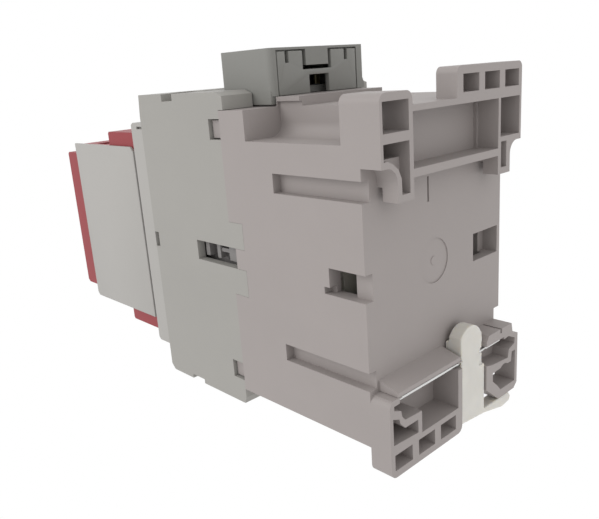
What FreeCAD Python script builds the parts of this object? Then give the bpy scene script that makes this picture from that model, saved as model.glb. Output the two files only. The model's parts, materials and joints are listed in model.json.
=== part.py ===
"""Three-pole contactor for a 35 mm rail: base, magnet, main contacts, front auxiliary block and coil module.

Frame: X across the poles, +Y towards the panel, +Z up. Y = 0 is the mounting plane and Z = 0,
X = 0 the middle of
the two mounting holes. All sizes are millimetres. The magnet pulls the contact carrier along +Y.
"""
import FreeCAD, Part
import os
import re
import Sketcher

Vector = FreeCAD.Vector
Rotation = FreeCAD.Rotation
doc = FreeCAD.newDocument("RailContactor")
sheet = doc.addObject("Spreadsheet::Sheet", "Sizes")

SIZES = {
    # overall housing
    "wide": 45.0, "back_face": 4.6, "seam": 43.2, "casing_front": 74.7, "frame_thick": 4.9,
    "base_top": 31.5, "base_bottom": 32.0, "casing_step": 3.7, "casing_drop": 3.8,
    "wall": 3.2, "thin_wall": 2.2, "back_wall": 2.5, "casing_wall": 2.0, "play": 0.3, "fit": 0.05,
    "over": 1.0,
    # mounting and rail
    "hole_inset": 5.0, "hole_drop": 1.5, "hole_radius": 2.25, "hole_room": 2.6, "rail_high": 35.0,
    "rail_room": 1.2,
    "access_wide": 10.0, "access_drop": 6.1, "access_front": 35.1, "access_back": 8.9, "access_round": 2.8,
    # hooks, bars, tab and foot on the back
    "hook_wide": 8.75, "hook_step": 4.2, "hook_under": 21.6, "hook_bottom": 15.3, "hook_rise": 2.5,
    "hook_wall": 1.1, "hook_round": 2.7, "corner_round": 1.6, "lip_room_low": 16.6, "lip_room_high": 25.7,
    "far_room_low": 22.8, "cross_low": 19.1, "cross_high": 20.6, "panel_sink": 0.7, "tab_rise": 5.7,
    "tab_inner": 0.5, "tab_thick": 4.6, "pocket_deep": 3.5, "pocket_wide": 5.3, "pocket_high": 3.3,
    "pocket_pitch": 7.3, "pocket_edge": 1.5, "foot_top": 21.0, "cell_deep": 6.3, "lip_deep": 2.3,
    # rail ledge, clip block and latch
    "ledge_top": 20.0, "ledge_rise": 1.3, "ledge_thick": 0.9, "clip_over": 0.6, "clip_top": 19.0,
    "clip_drop": 3.5,
    "latch_middle": 4.7, "latch_wide": 8.4, "latch_tip": 14.7, "latch_back": 4.3, "latch_front": 0.3,
    "latch_thin": 3.3, "wire_radius": 0.4, "wire_low": 22.0, "wire_deep": 1.1, "wire_inset": 3.3,
    # marks on the side and back walls
    "slot_low": 15.5, "slot_high": 19.4, "slot_front": 27.6, "slot_deep": 2.0, "lower_slot_low": 20.2,
    "lower_slot_high": 16.5, "notch_front": 13.6, "notch_back": 8.47, "notch_low": 2.8, "notch_high": 2.5,
    "vent_wide": 9.4, "vent_low": 3.3, "vent_high": 2.7, "disc_radius": 4.6, "disc_x": 1.8, "disc_deep": 0.2,
    "gate_radius": 0.9, "groove_x": 3.5, "groove_low": 12.5, "groove_high": 17.4, "groove_wide": 0.5,
    # front casing details
    "tooth_back": 38.7, "tooth_high": 7.9, "tooth_low": 8.5, "window_high": 2.1, "window_low": 2.45,
    "window_front": 56.3, "window_back": 41.7, "snap_front": 47.0, "snap_down": 3.9, "snap_half": 2.15,
    "groove_back": 60.0, "groove_wide_top": 4.3, "groove_deep": 1.6, "overhang": 41.6, "pole_margin": 1.5,
    "rib": 1.5, "screw_drop": 5.0, "driver_radius": 3.3, "driver_small": 2.0, "entry_long": 4.5,
    "entry_half": 3.6,
    # seat for the coil module
    "seat_side": 1.55, "seat_back": 28.4, "seat_rise": 1.9,
    # magnet and coil
    "leg_tip": 33.0, "yoke_back": 9.0, "yoke_thick": 6.0, "core_room": 3.7, "core_leg": 5.0,
    "core_middle": 5.5,
    "stack_half": 8.0, "stroke": 5.0, "armature_thick": 6.0, "ring_thick": 0.8, "ring_deep": 2.0,
    "bobbin_wall": 1.0, "flange": 1.3, "bobbin_room": 2.3, "winding_inset": 1.6, "blade_wide": 1.6,
    "blade": 0.8,
    "blade_low": 10.0, "blade_bend_drop": 6.9, "blade_front": 47.0, "blade_rise": 1.3, "coil_screw_drop": 4.4,
    "coil_head": 2.1, "coil_head_thick": 1.6, "coil_shank": 1.25, "coil_nut": 1.8,
    # contact carrier, bridges and springs
    "carrier_inset": 2.3, "carrier_half_z": 6.3, "carrier_rear": 44.8, "sole_thick": 5.2,
    "foot_half_z": 8.6, "cell_wall": 1.4, "stem_half_x": 3.0, "stem_half_z": 3.4, "rail_proud": 2.6,
    "rail_half_z": 1.7, "clip_half": 2.5, "bar_thick": 1.5, "bridge_half_x": 3.0, "tip_thick": 1.0,
    "tip_half": 2.0,
    "contact_gap": 3.85, "fixed_depth": 17.2, "spring_wire": 0.4, "spring_radius": 2.3, "spring_turns": 3.5,
    "return_radius": 2.8, "return_wire": 0.45, "return_turns": 5.0,
    # terminals
    "terminal_half_x": 4.3, "terminal_depth": 10.7, "terminal_tail": 2.8, "riser_down": 12.7,
    "bridge_clear": 4.9,
    "fixed_long": 9.3, "tip_in": 6.9, "screw_head": 3.0, "screw_head_thick": 2.2, "screw_shank": 1.75,
    "screw_long": 9.0, "washer_half": 3.7, "washer_thick": 1.2, "cross_long": 3.6, "cross_wide": 0.9,
    "cross_deep": 1.2, "nut_thick": 2.4,
    # front auxiliary block
    "aux_space": 0.9, "aux_deep": 32.1, "cover_deep": 6.9, "aux_high": 22.7, "aux_inset": 0.8,
    "aux_step_deep": 13.0, "aux_shoulder": 26.2, "aux_nose": 19.9, "aux_wall": 1.5, "aux_pitch": 10.6,
    "aux_rib": 1.2, "aux_screw_up": 16.0, "aux_head": 2.5, "aux_head_thick": 1.8, "aux_shank": 1.45,
    "aux_driver": 2.8, "aux_screw_long": 7.0, "aux_bar_deep": 19.1, "aux_bar": 0.8, "aux_tip": 0.6,
    "aux_gap": 4.05, "aux_lag": 1.0, "aux_in": 5.2, "aux_out": 20.4, "aux_half_x": 3.2, "aux_bridge_z": 8.2,
    "aux_tip_up": 6.7, "aux_tip_half": 1.2, "aux_carrier_x": 18.9, "aux_carrier_z": 3.9,
    "aux_carrier_deep": 30.5,
    "aux_carrier_start": 7.5, "aux_cell_end": 3.5, "aux_cell_x": 2.9, "aux_bridge_x": 2.2, "aux_coil": 1.5,
    "aux_spring_wire": 0.25, "stem_meet": 3.0, "aux_mark_x": 2.4, "aux_mark_z": 2.0, "aux_mark_sunk": 1.9,
    "aux_entry_start": 21.5, "aux_entry_long": 5.0, "aux_hook_x": 14.0, "hook_half": 1.5, "panel_cut": 1.3,
    "aux_washer_thick": 1.0,
    # coil module
    "module_side": 3.85, "module_front": 52.3, "module_back": 35.5, "module_high": 9.6, "module_wall": 1.4,
    "lid_inset": 2.15, "lid_drop": 0.8, "lid_thick": 1.2, "lid_gap": 0.3, "skirt_front": 44.0,
    "tongue_left": 3.8, "tongue_right": 3.0, "tongue_high": 3.0, "tongue_gap": 0.95, "lid_hole_half": 3.0,
    "lid_hole_high": 3.8, "lid_slit_in": 8.2, "lid_slit_wide": 1.0, "lid_slit_deep": 2.3, "pin_overlap": 3.4,
    "pin_rise": 4.5, "varistor_radius": 3.2, "varistor_thick": 3.2, "lead_radius": 0.35,
}

# sizes that follow from the ones above, so that what fits together keeps fitting
FITS = {
    "half_wide": "wide / 2",
    "hook_inner": "half_wide - hook_wide", "hook_lip": "half_wide - hook_step",
    "near_top": "base_top + hook_rise",
    "far_room_high": "base_top - hook_wall", "hole_x": "half_wide - hole_inset",
    "hole_z": "base_top - hole_drop",
    "tab_high": "base_top + tab_rise",
    "pocket_first": "half_wide - pocket_edge - pocket_wide / 2 - 2 * pocket_pitch + 0.35",
    "ledge_end": "half_wide - 2.6", "clip_bottom": "base_bottom + clip_drop",
    "clip_inner": "latch_middle + latch_wide / 2 + 1.3", "web_end": "latch_middle - latch_wide / 2 + 0.4",
    "latch_bottom": "clip_bottom + 0.6", "tab_low": "latch_bottom + 2.5", "tab_reach": "half_wide - 1.5",
    "wire_start": "half_wide - wire_inset", "wire_end": "half_wide - wire_inset - 2.2",
    "vent_far": "half_wide - 1.1", "vent_near": "vent_far - vent_wide",
    "access_floor": "base_top - access_drop", "snap_mid": "base_top - snap_down",
    "overhang_low": "base_top + 2 * fit",
    "casing_top": "base_top + casing_step", "casing_bottom": "base_bottom + casing_drop",
    "screw_up": "casing_top - screw_drop", "frame_high": "screw_up - hole_drop",
    "frame_front": "casing_front + frame_thick",
    "pole_pitch": "(wide - pole_margin) / 3", "pier": "pole_pitch - 2 * terminal_half_x - 3 * play",
    "groove_front": "groove_back + groove_wide_top", "entry_back": "terminal_front",
    "entry_front": "entry_back + entry_long",
    "seat_half": "module_half - seat_side", "seat_top": "base_top + seat_rise",
    "module_low": "seat_top + 2 * fit",
    "core_half": "access_floor - thin_wall - core_room", "bobbin_half_x": "half_wide - wall - bobbin_room",
    "bobbin_half_z": "core_half - core_leg - play", "winding_half_x": "bobbin_half_x - winding_inset",
    "winding_half_z": "bobbin_half_z - flange + 0.5", "return_x": "bobbin_half_x - return_radius + 2 * fit",
    "pad_thick": "yoke_back - back_face - back_wall",
    "coil_blade_out": "half_wide - access_wide - thin_wall - 2 * fit",
    "coil_blade_in": "coil_blade_out - blade_wide",
    "blade_bend": "base_top - blade_bend_drop", "blade_top": "base_top + blade_rise",
    "coil_screw_up": "base_top - coil_screw_drop", "module_half": "coil_blade_out + module_side",
    "carrier_front": "casing_front - casing_wall - play",
    "carrier_half_x": "half_wide - casing_wall - carrier_inset",
    "foot_front": "carrier_rear + sole_thick", "rail_out": "carrier_half_x + rail_proud",
    "fixed_front": "casing_front - fixed_depth", "cell_half_x": "bridge_half_x + play",
    "cell_front": "carrier_front - cell_wall", "cell_rear": "fixed_front + 2 * tip_thick + contact_gap",
    "terminal_front": "casing_front - terminal_depth", "terminal_out": "screw_up + terminal_tail",
    "riser": "screw_up - riser_down", "bridge_half_z": "riser - bridge_clear",
    "fixed_in": "riser - fixed_long",
    "tip_up": "riser - tip_in", "shelf_top": "screw_up - screw_head - play",
    "aux_back": "frame_front + aux_space", "aux_panel": "aux_back + aux_deep",
    "aux_front": "aux_panel + cover_deep",
    "aux_step": "aux_back + aux_step_deep", "aux_bar_front": "aux_back + aux_bar_deep",
    "stem_front": "aux_back + stem_meet",
    "aux_carrier_front": "aux_back + aux_carrier_deep", "aux_carrier_rear": "aux_back + aux_carrier_start",
    "aux_cell_front": "aux_carrier_front - 2", "aux_cell_rear": "aux_carrier_rear + aux_cell_end",
    "aux_mark_front": "aux_front - aux_mark_sunk", "aux_entry_back": "aux_back + aux_entry_start",
    "aux_entry_front": "aux_entry_back + aux_entry_long",
    "module_top": "module_low + module_high", "lid_top": "module_top - lid_drop",
    "lid_half": "module_half - lid_inset",
    "skirt_low": "base_top + 0.4", "tongue_low": "lid_top - tongue_high",
    "lid_hole_top": "module_low + lid_hole_high",
    "lid_slit_low": "lid_top - lid_slit_deep", "pin_low": "blade_top - pin_overlap",
    "pin_top": "module_low + pin_rise",
}

for place, (alias, value) in enumerate(SIZES.items(), start=1):
    sheet.set(f"A{place}", alias)
    sheet.set(f"B{place}", str(value))
    sheet.setAlias(f"B{place}", alias)
doc.recompute()

parts = {}


def expanded(text):
    """The text with every size that follows from others written out in the sheet's own aliases."""
    def written_out(word):
        name = word.group(0)
        return f"({expanded(FITS[name])})" if name in FITS else name
    return re.sub(r"[a-z][a-z_]+", written_out, text)


def bound(text):
    """An expression on the sheet: each alias in the text gets the sheet's name in front."""
    return re.sub(r"[a-z][a-z_]+", lambda word: "Sizes." + word.group(0), expanded(text))


def number(text):
    """The present value of an expression on the sheet's aliases."""
    sheet.set("D1", "=" + expanded(text))
    sheet.recompute()
    return float(sheet.get("D1"))


def block(name, x, y, z):
    """A box between two expressions on each axis."""
    piece = doc.addObject("Part::Box", name)
    for side, axis, (low, high) in (("Length", "x", x), ("Width", "y", y), ("Height", "z", z)):
        piece.setExpression(side, bound(f"({high}) - ({low})"))
        piece.setExpression("Placement.Base." + axis, bound(low))
    return piece


TURNS = {"x": Rotation(Vector(0, 1, 0), 90), "y": Rotation(Vector(1, 0, 0), -90), "z": Rotation()}


def rod(name, axis, centre, radius, span):
    """A cylinder along an axis; centre gives its x, y and z, and span its length from there."""
    piece = doc.addObject("Part::Cylinder", name)
    piece.Placement = FreeCAD.Placement(Vector(), TURNS[axis])
    piece.setExpression("Radius", bound(radius))
    piece.setExpression("Height", bound(span))
    for letter, text in zip("xyz", centre):
        piece.setExpression("Placement.Base." + letter, bound(text))
    return piece


def sketched(host, name, points):
    """A closed sketch whose corners are expressions, each held by two distances from the origin."""
    sketch = host.newObject("Sketcher::SketchObject",
                            name) if host else doc.addObject("Sketcher::SketchObject", name)
    corners = [Vector(number(a), number(b), 0) for a, b in points]
    for corner, following in zip(corners, corners[1:] + corners[:1]):
        sketch.addGeometry(Part.LineSegment(corner, following), False)
    for place in range(len(corners)):
        sketch.addConstraint(Sketcher.Constraint("Coincident", place, 2, (place + 1) % len(corners), 1))
    for place, (corner, texts) in enumerate(zip(corners, points)):
        for kind, text, value in zip(("DistanceX", "DistanceY"), texts, (corner.x, corner.y)):
            index = sketch.addConstraint(Sketcher.Constraint(kind, -1, 1, place, 1, value))
            sketch.setExpression(f"Constraints[{index}]", bound(text))
    return sketch


PLANES = {
    "xz": ("y", Vector(0, 1, 0), Rotation(Vector(1, 0, 0), 90)),
    "yz": ("x", Vector(1, 0, 0), Rotation(0.5, 0.5, 0.5, 0.5)),
}


def prism(name, plane, points, span):
    """A straight bar with the outline given in the plane, between two expressions on the third axis."""
    axis, along, turn = PLANES[plane]
    sketch = sketched(None, name + "_outline", points)
    sketch.Placement = FreeCAD.Placement(Vector(), turn)
    sketch.setExpression("Placement.Base." + axis, bound(span[0]))
    piece = doc.addObject("Part::Extrusion", name)
    piece.Base = sketch
    piece.DirMode = "Custom"
    piece.Dir = along
    piece.Solid = True
    piece.setExpression("LengthFwd", bound(f"({span[1]}) - ({span[0]})"))
    return piece


def fused(name, pieces):
    joined = doc.addObject("Part::MultiFuse", name)
    joined.Shapes = pieces
    joined.Refine = True
    return joined


def carved(name, base, tools):
    """The base with all the tools cut away."""
    cut = doc.addObject("Part::Cut", name)
    cut.Base = base
    cut.Tool = tools[0] if len(tools) == 1 else fused(name + "_tools", tools)
    cut.Refine = True
    return cut


def grouped(name, pieces):
    group = doc.addObject("Part::Compound", name)
    group.Links = pieces
    return group


def half_turn(name, piece):
    """The piece turned half a turn about the Y axis, as the diagonal features are."""
    turned = grouped(name, [piece])
    turned.Placement = FreeCAD.Placement(Vector(), Rotation(Vector(0, 1, 0), 180))
    return turned


def other_side(name, piece):
    """The piece mirrored across the middle plane X = 0."""
    mirrored = doc.addObject("Part::Mirroring", name)
    mirrored.Source = piece
    mirrored.Normal = Vector(1, 0, 0)
    return mirrored


def rounded(name, base, radius, axis, corners):
    """Rounds the edges parallel to an axis that pass through the given corners of the plane across it."""
    doc.recompute()
    across = [letter for letter in "xyz" if letter != axis]
    spots = [(number(a), number(b)) for a, b in corners]
    along = {"x": Vector(1, 0, 0), "y": Vector(0, 1, 0), "z": Vector(0, 0, 1)}[axis]
    chosen = []
    for place, edge in enumerate(base.Shape.Edges, start=1):
        first, last = edge.Vertexes[0].Point, edge.Vertexes[-1].Point
        run = last - first
        if run.Length < 1e-6 or run.cross(along).Length > 1e-6:
            continue
        spot = [getattr(first, letter) for letter in across]
        if any(abs(spot[0] - a) < 1e-4 and abs(spot[1] - b) < 1e-4 for a, b in spots):
            chosen.append((place, number(radius), number(radius)))
    fillet = doc.addObject("Part::Fillet", name)
    fillet.Base = base
    fillet.Edges = chosen
    return fillet


def coil_spring(name, x, z, y, radius, wire, turns):
    """A round wire spring along Y between two expressions."""
    spine = doc.addObject("Part::Helix", name + "_spine")
    spine.setExpression("Height", bound(f"({y[1]}) - ({y[0]}) - 2.2 * {wire} - 2 * fit"))
    spine.setExpression("Pitch", bound(f"(({y[1]}) - ({y[0]}) - 2.2 * {wire} - 2 * fit) / {turns}"))
    spine.setExpression("Radius", bound(radius))
    section = doc.addObject("Part::Circle", name + "_section")
    section.Placement = FreeCAD.Placement(Vector(), Rotation(Vector(1, 0, 0), 90))
    section.setExpression("Radius", bound(wire))
    section.setExpression("Placement.Base.x", bound(radius))
    sweep = doc.addObject("Part::Sweep", name + "_wire")
    sweep.Sections = [section]
    sweep.Spine = (spine, ["Edge1"])
    sweep.Solid = True
    sweep.Frenet = True
    spring = grouped(name, [sweep])
    spring.Placement = FreeCAD.Placement(Vector(), TURNS["y"])
    for letter, text in zip("xyz", (x, f"({y[0]}) + 1.1 * {wire} + fit", z)):
        spring.setExpression("Placement.Base." + letter, bound(text))
    return spring


def node(label, piece):
    """Names a finished sub-part."""
    piece.Label = label
    parts[label] = piece
    return piece


HALF = ("-half_wide", "half_wide")


# ---------------------------------------------------------------- base
def hook(name, lip_low, top):
    """One rail hook on the near side: a hanging lip, a step out to the side wall and a curve between."""
    upper = block(name + "_upper", ("hook_inner", "half_wide"), ("-access_back", "0"), ("hook_under", top))
    lip = block(name + "_lip", ("hook_inner", "hook_lip"), ("rail_room - back_face", "0"),
                (lip_low, "hook_under + 1"))
    root = block(name + "_root", ("hook_inner", "hook_lip"), ("-back_face - 1", "0"),
                 ("rail_high / 2 + play", "hook_under + 1"))
    web = block(name + "_web", ("hook_lip - 1", "hook_lip + hook_round"), ("-back_face - 1", "0"),
                ("hook_under - hook_round", "hook_under + 1"))
    curve = rod(name + "_curve", "y", ("hook_lip + hook_round", "-back_face - 2", "hook_under - hook_round"),
                "hook_round", "back_face + 3")
    return fused(name, [upper, lip, root, carved(name + "_bend", web, [curve])])


def pockets(name, low, high, deep):
    """The three pockets of the foot, from the near side inwards."""
    cuts = []
    for place in range(3):
        middle = f"pocket_first + {place} * pocket_pitch"
        cuts.append(block(f"{name}_{place}", (f"{middle} - pocket_wide / 2", f"{middle} + pocket_wide / 2"),
                          (f"-{deep}", "over"), (low, high)))
    return cuts


def base_solids():
    """Everything that adds material to the base."""
    body = block("base_body", HALF, ("-seam", "-back_face"), ("-base_bottom", "base_top"))
    seat = block("base_seat", ("-seat_half", "seat_half"), ("-seam", "-seat_back"),
                 ("base_top - 1", "seat_top"))
    seat_rib = block("base_seat_rib", ("seat_half - 1", "seat_half + 0.7"),
                     ("-access_front - 0.2", "-seat_back"),
                     ("access_floor + 2.4", "seat_top"))
    near = hook("near_hook", "hook_bottom", "near_top")
    near_round = rounded("near_hook_round", near, "corner_round", "y",
                         [("half_wide", "near_top"), ("hook_inner", "near_top")])
    far = other_side("far_hook", hook("far_hook_source", "hook_bottom", "base_top"))
    top_bar = block("top_bar", ("-half_wide", "hook_inner"), ("-back_face", "0"),
                    ("far_room_high", "base_top"))
    low_bar = block("low_bar", ("-hook_inner", "hook_inner"), ("-back_face", "0"),
                    ("cross_low", "cross_high"))
    tab = block("tab_block", ("-half_wide", "tab_inner"), ("-tab_thick", "0"), ("base_top - 1", "tab_high"))
    tab_round = rounded("tab_round", tab, "corner_round - 0.3", "y",
                        [("-half_wide", "tab_high"), ("tab_inner", "tab_high")])
    foot = block("foot_block", ("-web_end", "half_wide"), ("-back_face - play", "0"),
                 ("-tab_high", "-foot_top"))
    foot_round = rounded("foot_round", foot, "corner_round", "y",
                         [("half_wide", "-tab_high"), ("-web_end", "-tab_high"), ("half_wide", "-foot_top")])
    ledge = prism("rail_ledge", "yz", [
        ("-back_face - 0.5", "-ledge_top + ledge_rise"), ("-back_face", "-ledge_top + ledge_rise"),
        ("0", "-ledge_top"),
        ("0", "-ledge_top - ledge_thick"), ("-back_face - 0.5", "-ledge_top - ledge_thick")],
        ("0 - web_end / 3", "ledge_end"))
    ledge_end = block("ledge_shoulder", ("ledge_end - 1.1", "half_wide - 0.8"), ("-back_face", "0"),
                      ("-foot_top - 1", "-foot_top"))
    clip = prism("clip_block", "xz", [
        ("-clip_inner", "-clip_top - 1.3"), ("-clip_inner - 0.9", "-clip_top"),
        ("-half_wide + 2.1", "-clip_top"),
        ("-half_wide + 1.6", "-clip_top - 2.4"), ("-half_wide - clip_over", "-clip_top - 3.1"),
        ("-half_wide - clip_over", "-clip_bottom + 1.2"), ("-half_wide + 0.7", "-clip_bottom"),
        ("-clip_inner - 5", "-clip_bottom"), ("-clip_inner", "-clip_bottom + 4")], ("-back_face - 0.5", "0"))
    snaps = []
    for side, sign in (("near", ""), ("far", "-")):
        for level, up in (("upper", ""), ("lower", "-")):
            inner = "half_wide - casing_wall - play"
            ends = (f"{inner} - 1.6", inner) if not sign else (f"-({inner})", f"-({inner}) + 1.6")
            nub = (f"{inner} - 1", f"{inner} + 1.4") if not sign else (f"-({inner}) - 1.4", f"-({inner}) + 1")
            height = (f"{up}snap_mid - snap_half + play", f"{up}snap_mid + snap_half - play")
            snaps.append(block(f"snap_{side}_{level}", ends, ("-snap_front - 1.5", "-seam + 4"), height))
            snaps.append(block(f"snap_nub_{side}_{level}", nub, ("-snap_front + play", "-seam - 0.9"),
                               height))
    return fused("base_solid", [body, seat, seat_rib, near_round, far, top_bar, low_bar, tab_round,
                                foot_round, ledge,
                                ledge_end, clip] + snaps)


def base_hollows():
    """The inside of the base."""
    back = "-back_face - back_wall"
    low_room = "access_floor - thin_wall"
    high_room = "base_top - thin_wall"
    inner = "half_wide - access_wide - thin_wall"
    main = block("room_main", ("-half_wide + wall", "half_wide - wall"), ("-seam - 9", back),
                 (f"-({low_room})", low_room))
    middle = block("room_middle", (f"-({inner})", inner), ("-seam - 9", back), (f"-({high_room})", high_room))
    front = block("room_front", ("-half_wide + wall", "half_wide - wall"),
                  ("-seam - 9", "-access_front - thin_wall"),
                  (f"-({high_room})", high_room))
    corner = block("room_corner", (inner, "half_wide - wall"), ("-seam - 9", back),
                   (f"-({high_room})", f"-({low_room}) + 1"))
    return [main, middle, front, corner, half_turn("room_corner_far", corner)]


def base_side_marks():
    """Slots, windows and the shapes along the seam, on the near side and mirrored."""
    out = "half_wide + over"
    near = [
        block("side_slot_up", ("half_wide - slot_deep", out), ("-slot_front", "over - back_face"),
              ("slot_low", "slot_high")),
        block("side_slot_down", ("half_wide - slot_deep", out), ("-slot_front", "over - back_face"),
              ("-lower_slot_low", "-lower_slot_high")),
        block("tooth_seat_up", ("half_wide - wall - 1", out), ("-seam - over", "-tooth_back + fit"),
              ("window_high", "tooth_high + fit")),
        block("tooth_seat_down", ("half_wide - wall - 1", out), ("-seam - over", "-tooth_back + fit"),
              ("-tooth_low - fit", "-window_low")),
        block("tooth_seat_mid", ("half_wide - wall - 1", out), ("-seam - over", "-window_back"),
              ("-window_low - 1", "window_high + 1")),
        block("rail_channel", ("half_wide - wall - 1", "rail_out + play"),
              ("-seam", "-carrier_rear + stroke + 2"),
              ("-rail_half_z - play", "rail_half_z + play")),
    ]
    far = [other_side(piece.Name + "_far", piece) for piece in near]
    corner = [
        block("corner_notch", ("half_wide - slot_deep", out), ("-notch_front", "over - back_face"),
              ("-notch_low", "notch_high")),
        block("corner_window", ("half_wide - wall - 1", "half_wide - slot_deep + 0.1"),
              ("-notch_front", "-notch_back"),
              ("-notch_low", "notch_high")),
        block("corner_step", ("half_wide - slot_deep", out), ("-notch_front - 1.4", "-notch_front + 0.1"),
              ("-notch_low", "-notch_low / 2")),
    ]
    return near + far + corner


def base_back_marks():
    """Pockets, rail slots, the clip's rooms and the small marks on the back."""
    recess_box = block("access_box", ("half_wide - access_wide", "half_wide + over"),
                       ("-access_front", "-access_back"),
                       ("access_floor", "base_top + over"))
    recess = rounded("access_near", recess_box, "access_round", "y",
                     [("half_wide - access_wide", "access_floor")])
    hole = rod("mount_hole", "y", ("hole_x", "-access_back - over", "hole_z"), "hole_radius",
               "access_back + 2")
    room_in = "hook_inner + hook_wall"
    room_out = "half_wide - 0.7"
    cuts = [
        recess, half_turn("access_far", recess), hole, half_turn("mount_hole_far", hole),
        block("hole_room", (room_in, room_out), ("-cell_deep - 0.7", "over"),
              ("hole_z - hole_room", "hole_z + hole_room")),
        prism("lip_room", "xz", [
            (room_in, "lip_room_high"), (room_in, "far_room_low"), (room_out, "far_room_low"),
            (room_out, "lip_room_high")], ("-cell_deep", "over")),
        prism("lip_cell", "xz", [
            (room_in, "far_room_low + 1"), (room_in, "lip_room_low"), ("hook_lip - 1.2", "lip_room_low"),
            ("hook_lip - 1.1", "lip_room_low + 2.9"), ("hook_lip - 0.3", "far_room_low - 1.7"),
            ("hook_lip + 1.1", "far_room_low - 0.6"), ("half_wide - 1.9", "far_room_low - 0.1"),
            ("half_wide - 1.9", "far_room_low + 1")], ("-lip_deep", "over")),
        block("far_room", ("-half_wide + 0.7", "-hook_inner - 0.85"), ("-cell_deep", "over"),
              ("far_room_low", "far_room_high")),
        block("far_cell", ("-hook_lip + 1.4", "-hook_inner - hook_wall"), ("-lip_deep", "over"),
              ("lip_room_low", "far_room_low - 1")),
        block("panel_recess", ("-hook_inner + 0.6", "hook_inner"), ("-back_face - panel_sink", "over"),
              ("cross_high", "far_room_high")),
        block("back_vent", ("-vent_far", "-vent_near"), ("-back_face - back_wall - 1", "over"),
              ("-vent_low", "vent_high")),
        rod("back_disc", "y", ("disc_x", "-back_face - disc_deep", "0.3"), "disc_radius", "5"),
        block("back_groove", ("groove_x - groove_wide / 2", "groove_x + groove_wide / 2"),
              ("-back_face - 0.4", "over"), ("groove_low", "groove_high")),
        block("clip_slit", ("-half_wide + 6.2", "-half_wide + 6.8"), ("-back_face", "over"),
              ("-clip_top - 1", "over - clip_top")),
        prism("foot_room_low", "xz", [
            ("half_wide - 0.9", "-24.7"), ("half_wide - 2.7", "-25.4"), ("half_wide - 3", "-26.5"),
            ("half_wide - 4.4", "-27.9"), ("half_wide - 8.4", "-27.9"), ("half_wide - 8.4", "-30.7"),
            ("half_wide - 0.9", "-30.2")], ("-cell_deep", "over")),
        prism("foot_room_high", "xz", [
            ("ledge_end - 1.1", "-ledge_top - ledge_thick"), ("web_end - 0.4", "-ledge_top - ledge_thick"),
            ("web_end - 0.4", "-31.2"), ("half_wide - 9.6", "-31.2"), ("half_wide - 9.6", "-26.5"),
            ("half_wide - 4.4", "-26.2"), ("half_wide - 3.6", "-25.2"), ("half_wide - 3.3", "-23.9"),
            ("half_wide - 1.3", "-23.1"), ("half_wide - 1.3", "-22.2"), ("ledge_end - 1.1", "-22.2")],
            ("-cell_deep", "over")),
        prism("clip_room_low", "xz", [
            ("-clip_inner - 2.6", "-28.4"), ("-clip_inner - 2.6", "-30.4"), ("-clip_inner - 4.5", "-32.1"),
            ("-clip_inner - 5.8", "-33.6"), ("0.4 - half_wide", "-33.6"), ("0.4 - half_wide", "-26"),
            ("1.8 - half_wide", "-26"), ("2.1 - half_wide", "-28.2")], ("-cell_deep - 0.7", "over")),
        prism("clip_room_high", "xz", [
            ("over - clip_inner", "-22.8"), ("over - clip_inner", "-25.6"), ("-clip_inner - 2.3", "-26.3"),
            ("3.5 - half_wide", "-26.9"), ("3.1 - half_wide", "-25"), ("0.7 - half_wide", "-24.2"),
            ("0.7 - half_wide", "-22.9"), ("3.4 - half_wide", "-21.7"), ("-clip_inner - 2.3", "-22.3")],
            ("-back_face + 0.6", "over")),
    ]
    cuts.append(block("wire_groove", ("-wire_end - play", "wire_start + play"),
                      ("-wire_deep - wire_radius - play", "over"),
                      ("-wire_low - wire_radius - play", "wire_radius + play - wire_low")))
    foot_pockets = pockets("foot_pocket", "pocket_edge - tab_high", "pocket_edge + pocket_high - tab_high",
                           "pocket_deep")
    tab_pockets = [half_turn(piece.Name + "_tab", piece) for piece in pockets("tab_source",
                                        "pocket_edge - tab_high", "pocket_edge + pocket_high - tab_high",
                                        "pocket_deep")]
    return cuts + foot_pockets + tab_pockets


def rear_housing():
    tools = base_hollows() + base_side_marks() + base_back_marks()
    whole = carved("rear_housing_cut", base_solids(), tools)
    gate = rod("back_gate", "y", ("disc_x", "-back_face - disc_deep - 0.1", "0.3"), "gate_radius",
               "disc_deep")
    return node("rear_housing", fused("rear_housing", [whole, gate]))


# ---------------------------------------------------------------- front casing and frame
def upright(sign, low, high):
    """A span above the middle, or with a minus sign the same span below it."""
    return (low, high) if not sign else (f"-({high})", f"-({low})")


def pole_places():
    return [(place + 1, f"{place - 1} * pole_pitch") for place in range(3)]


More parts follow.
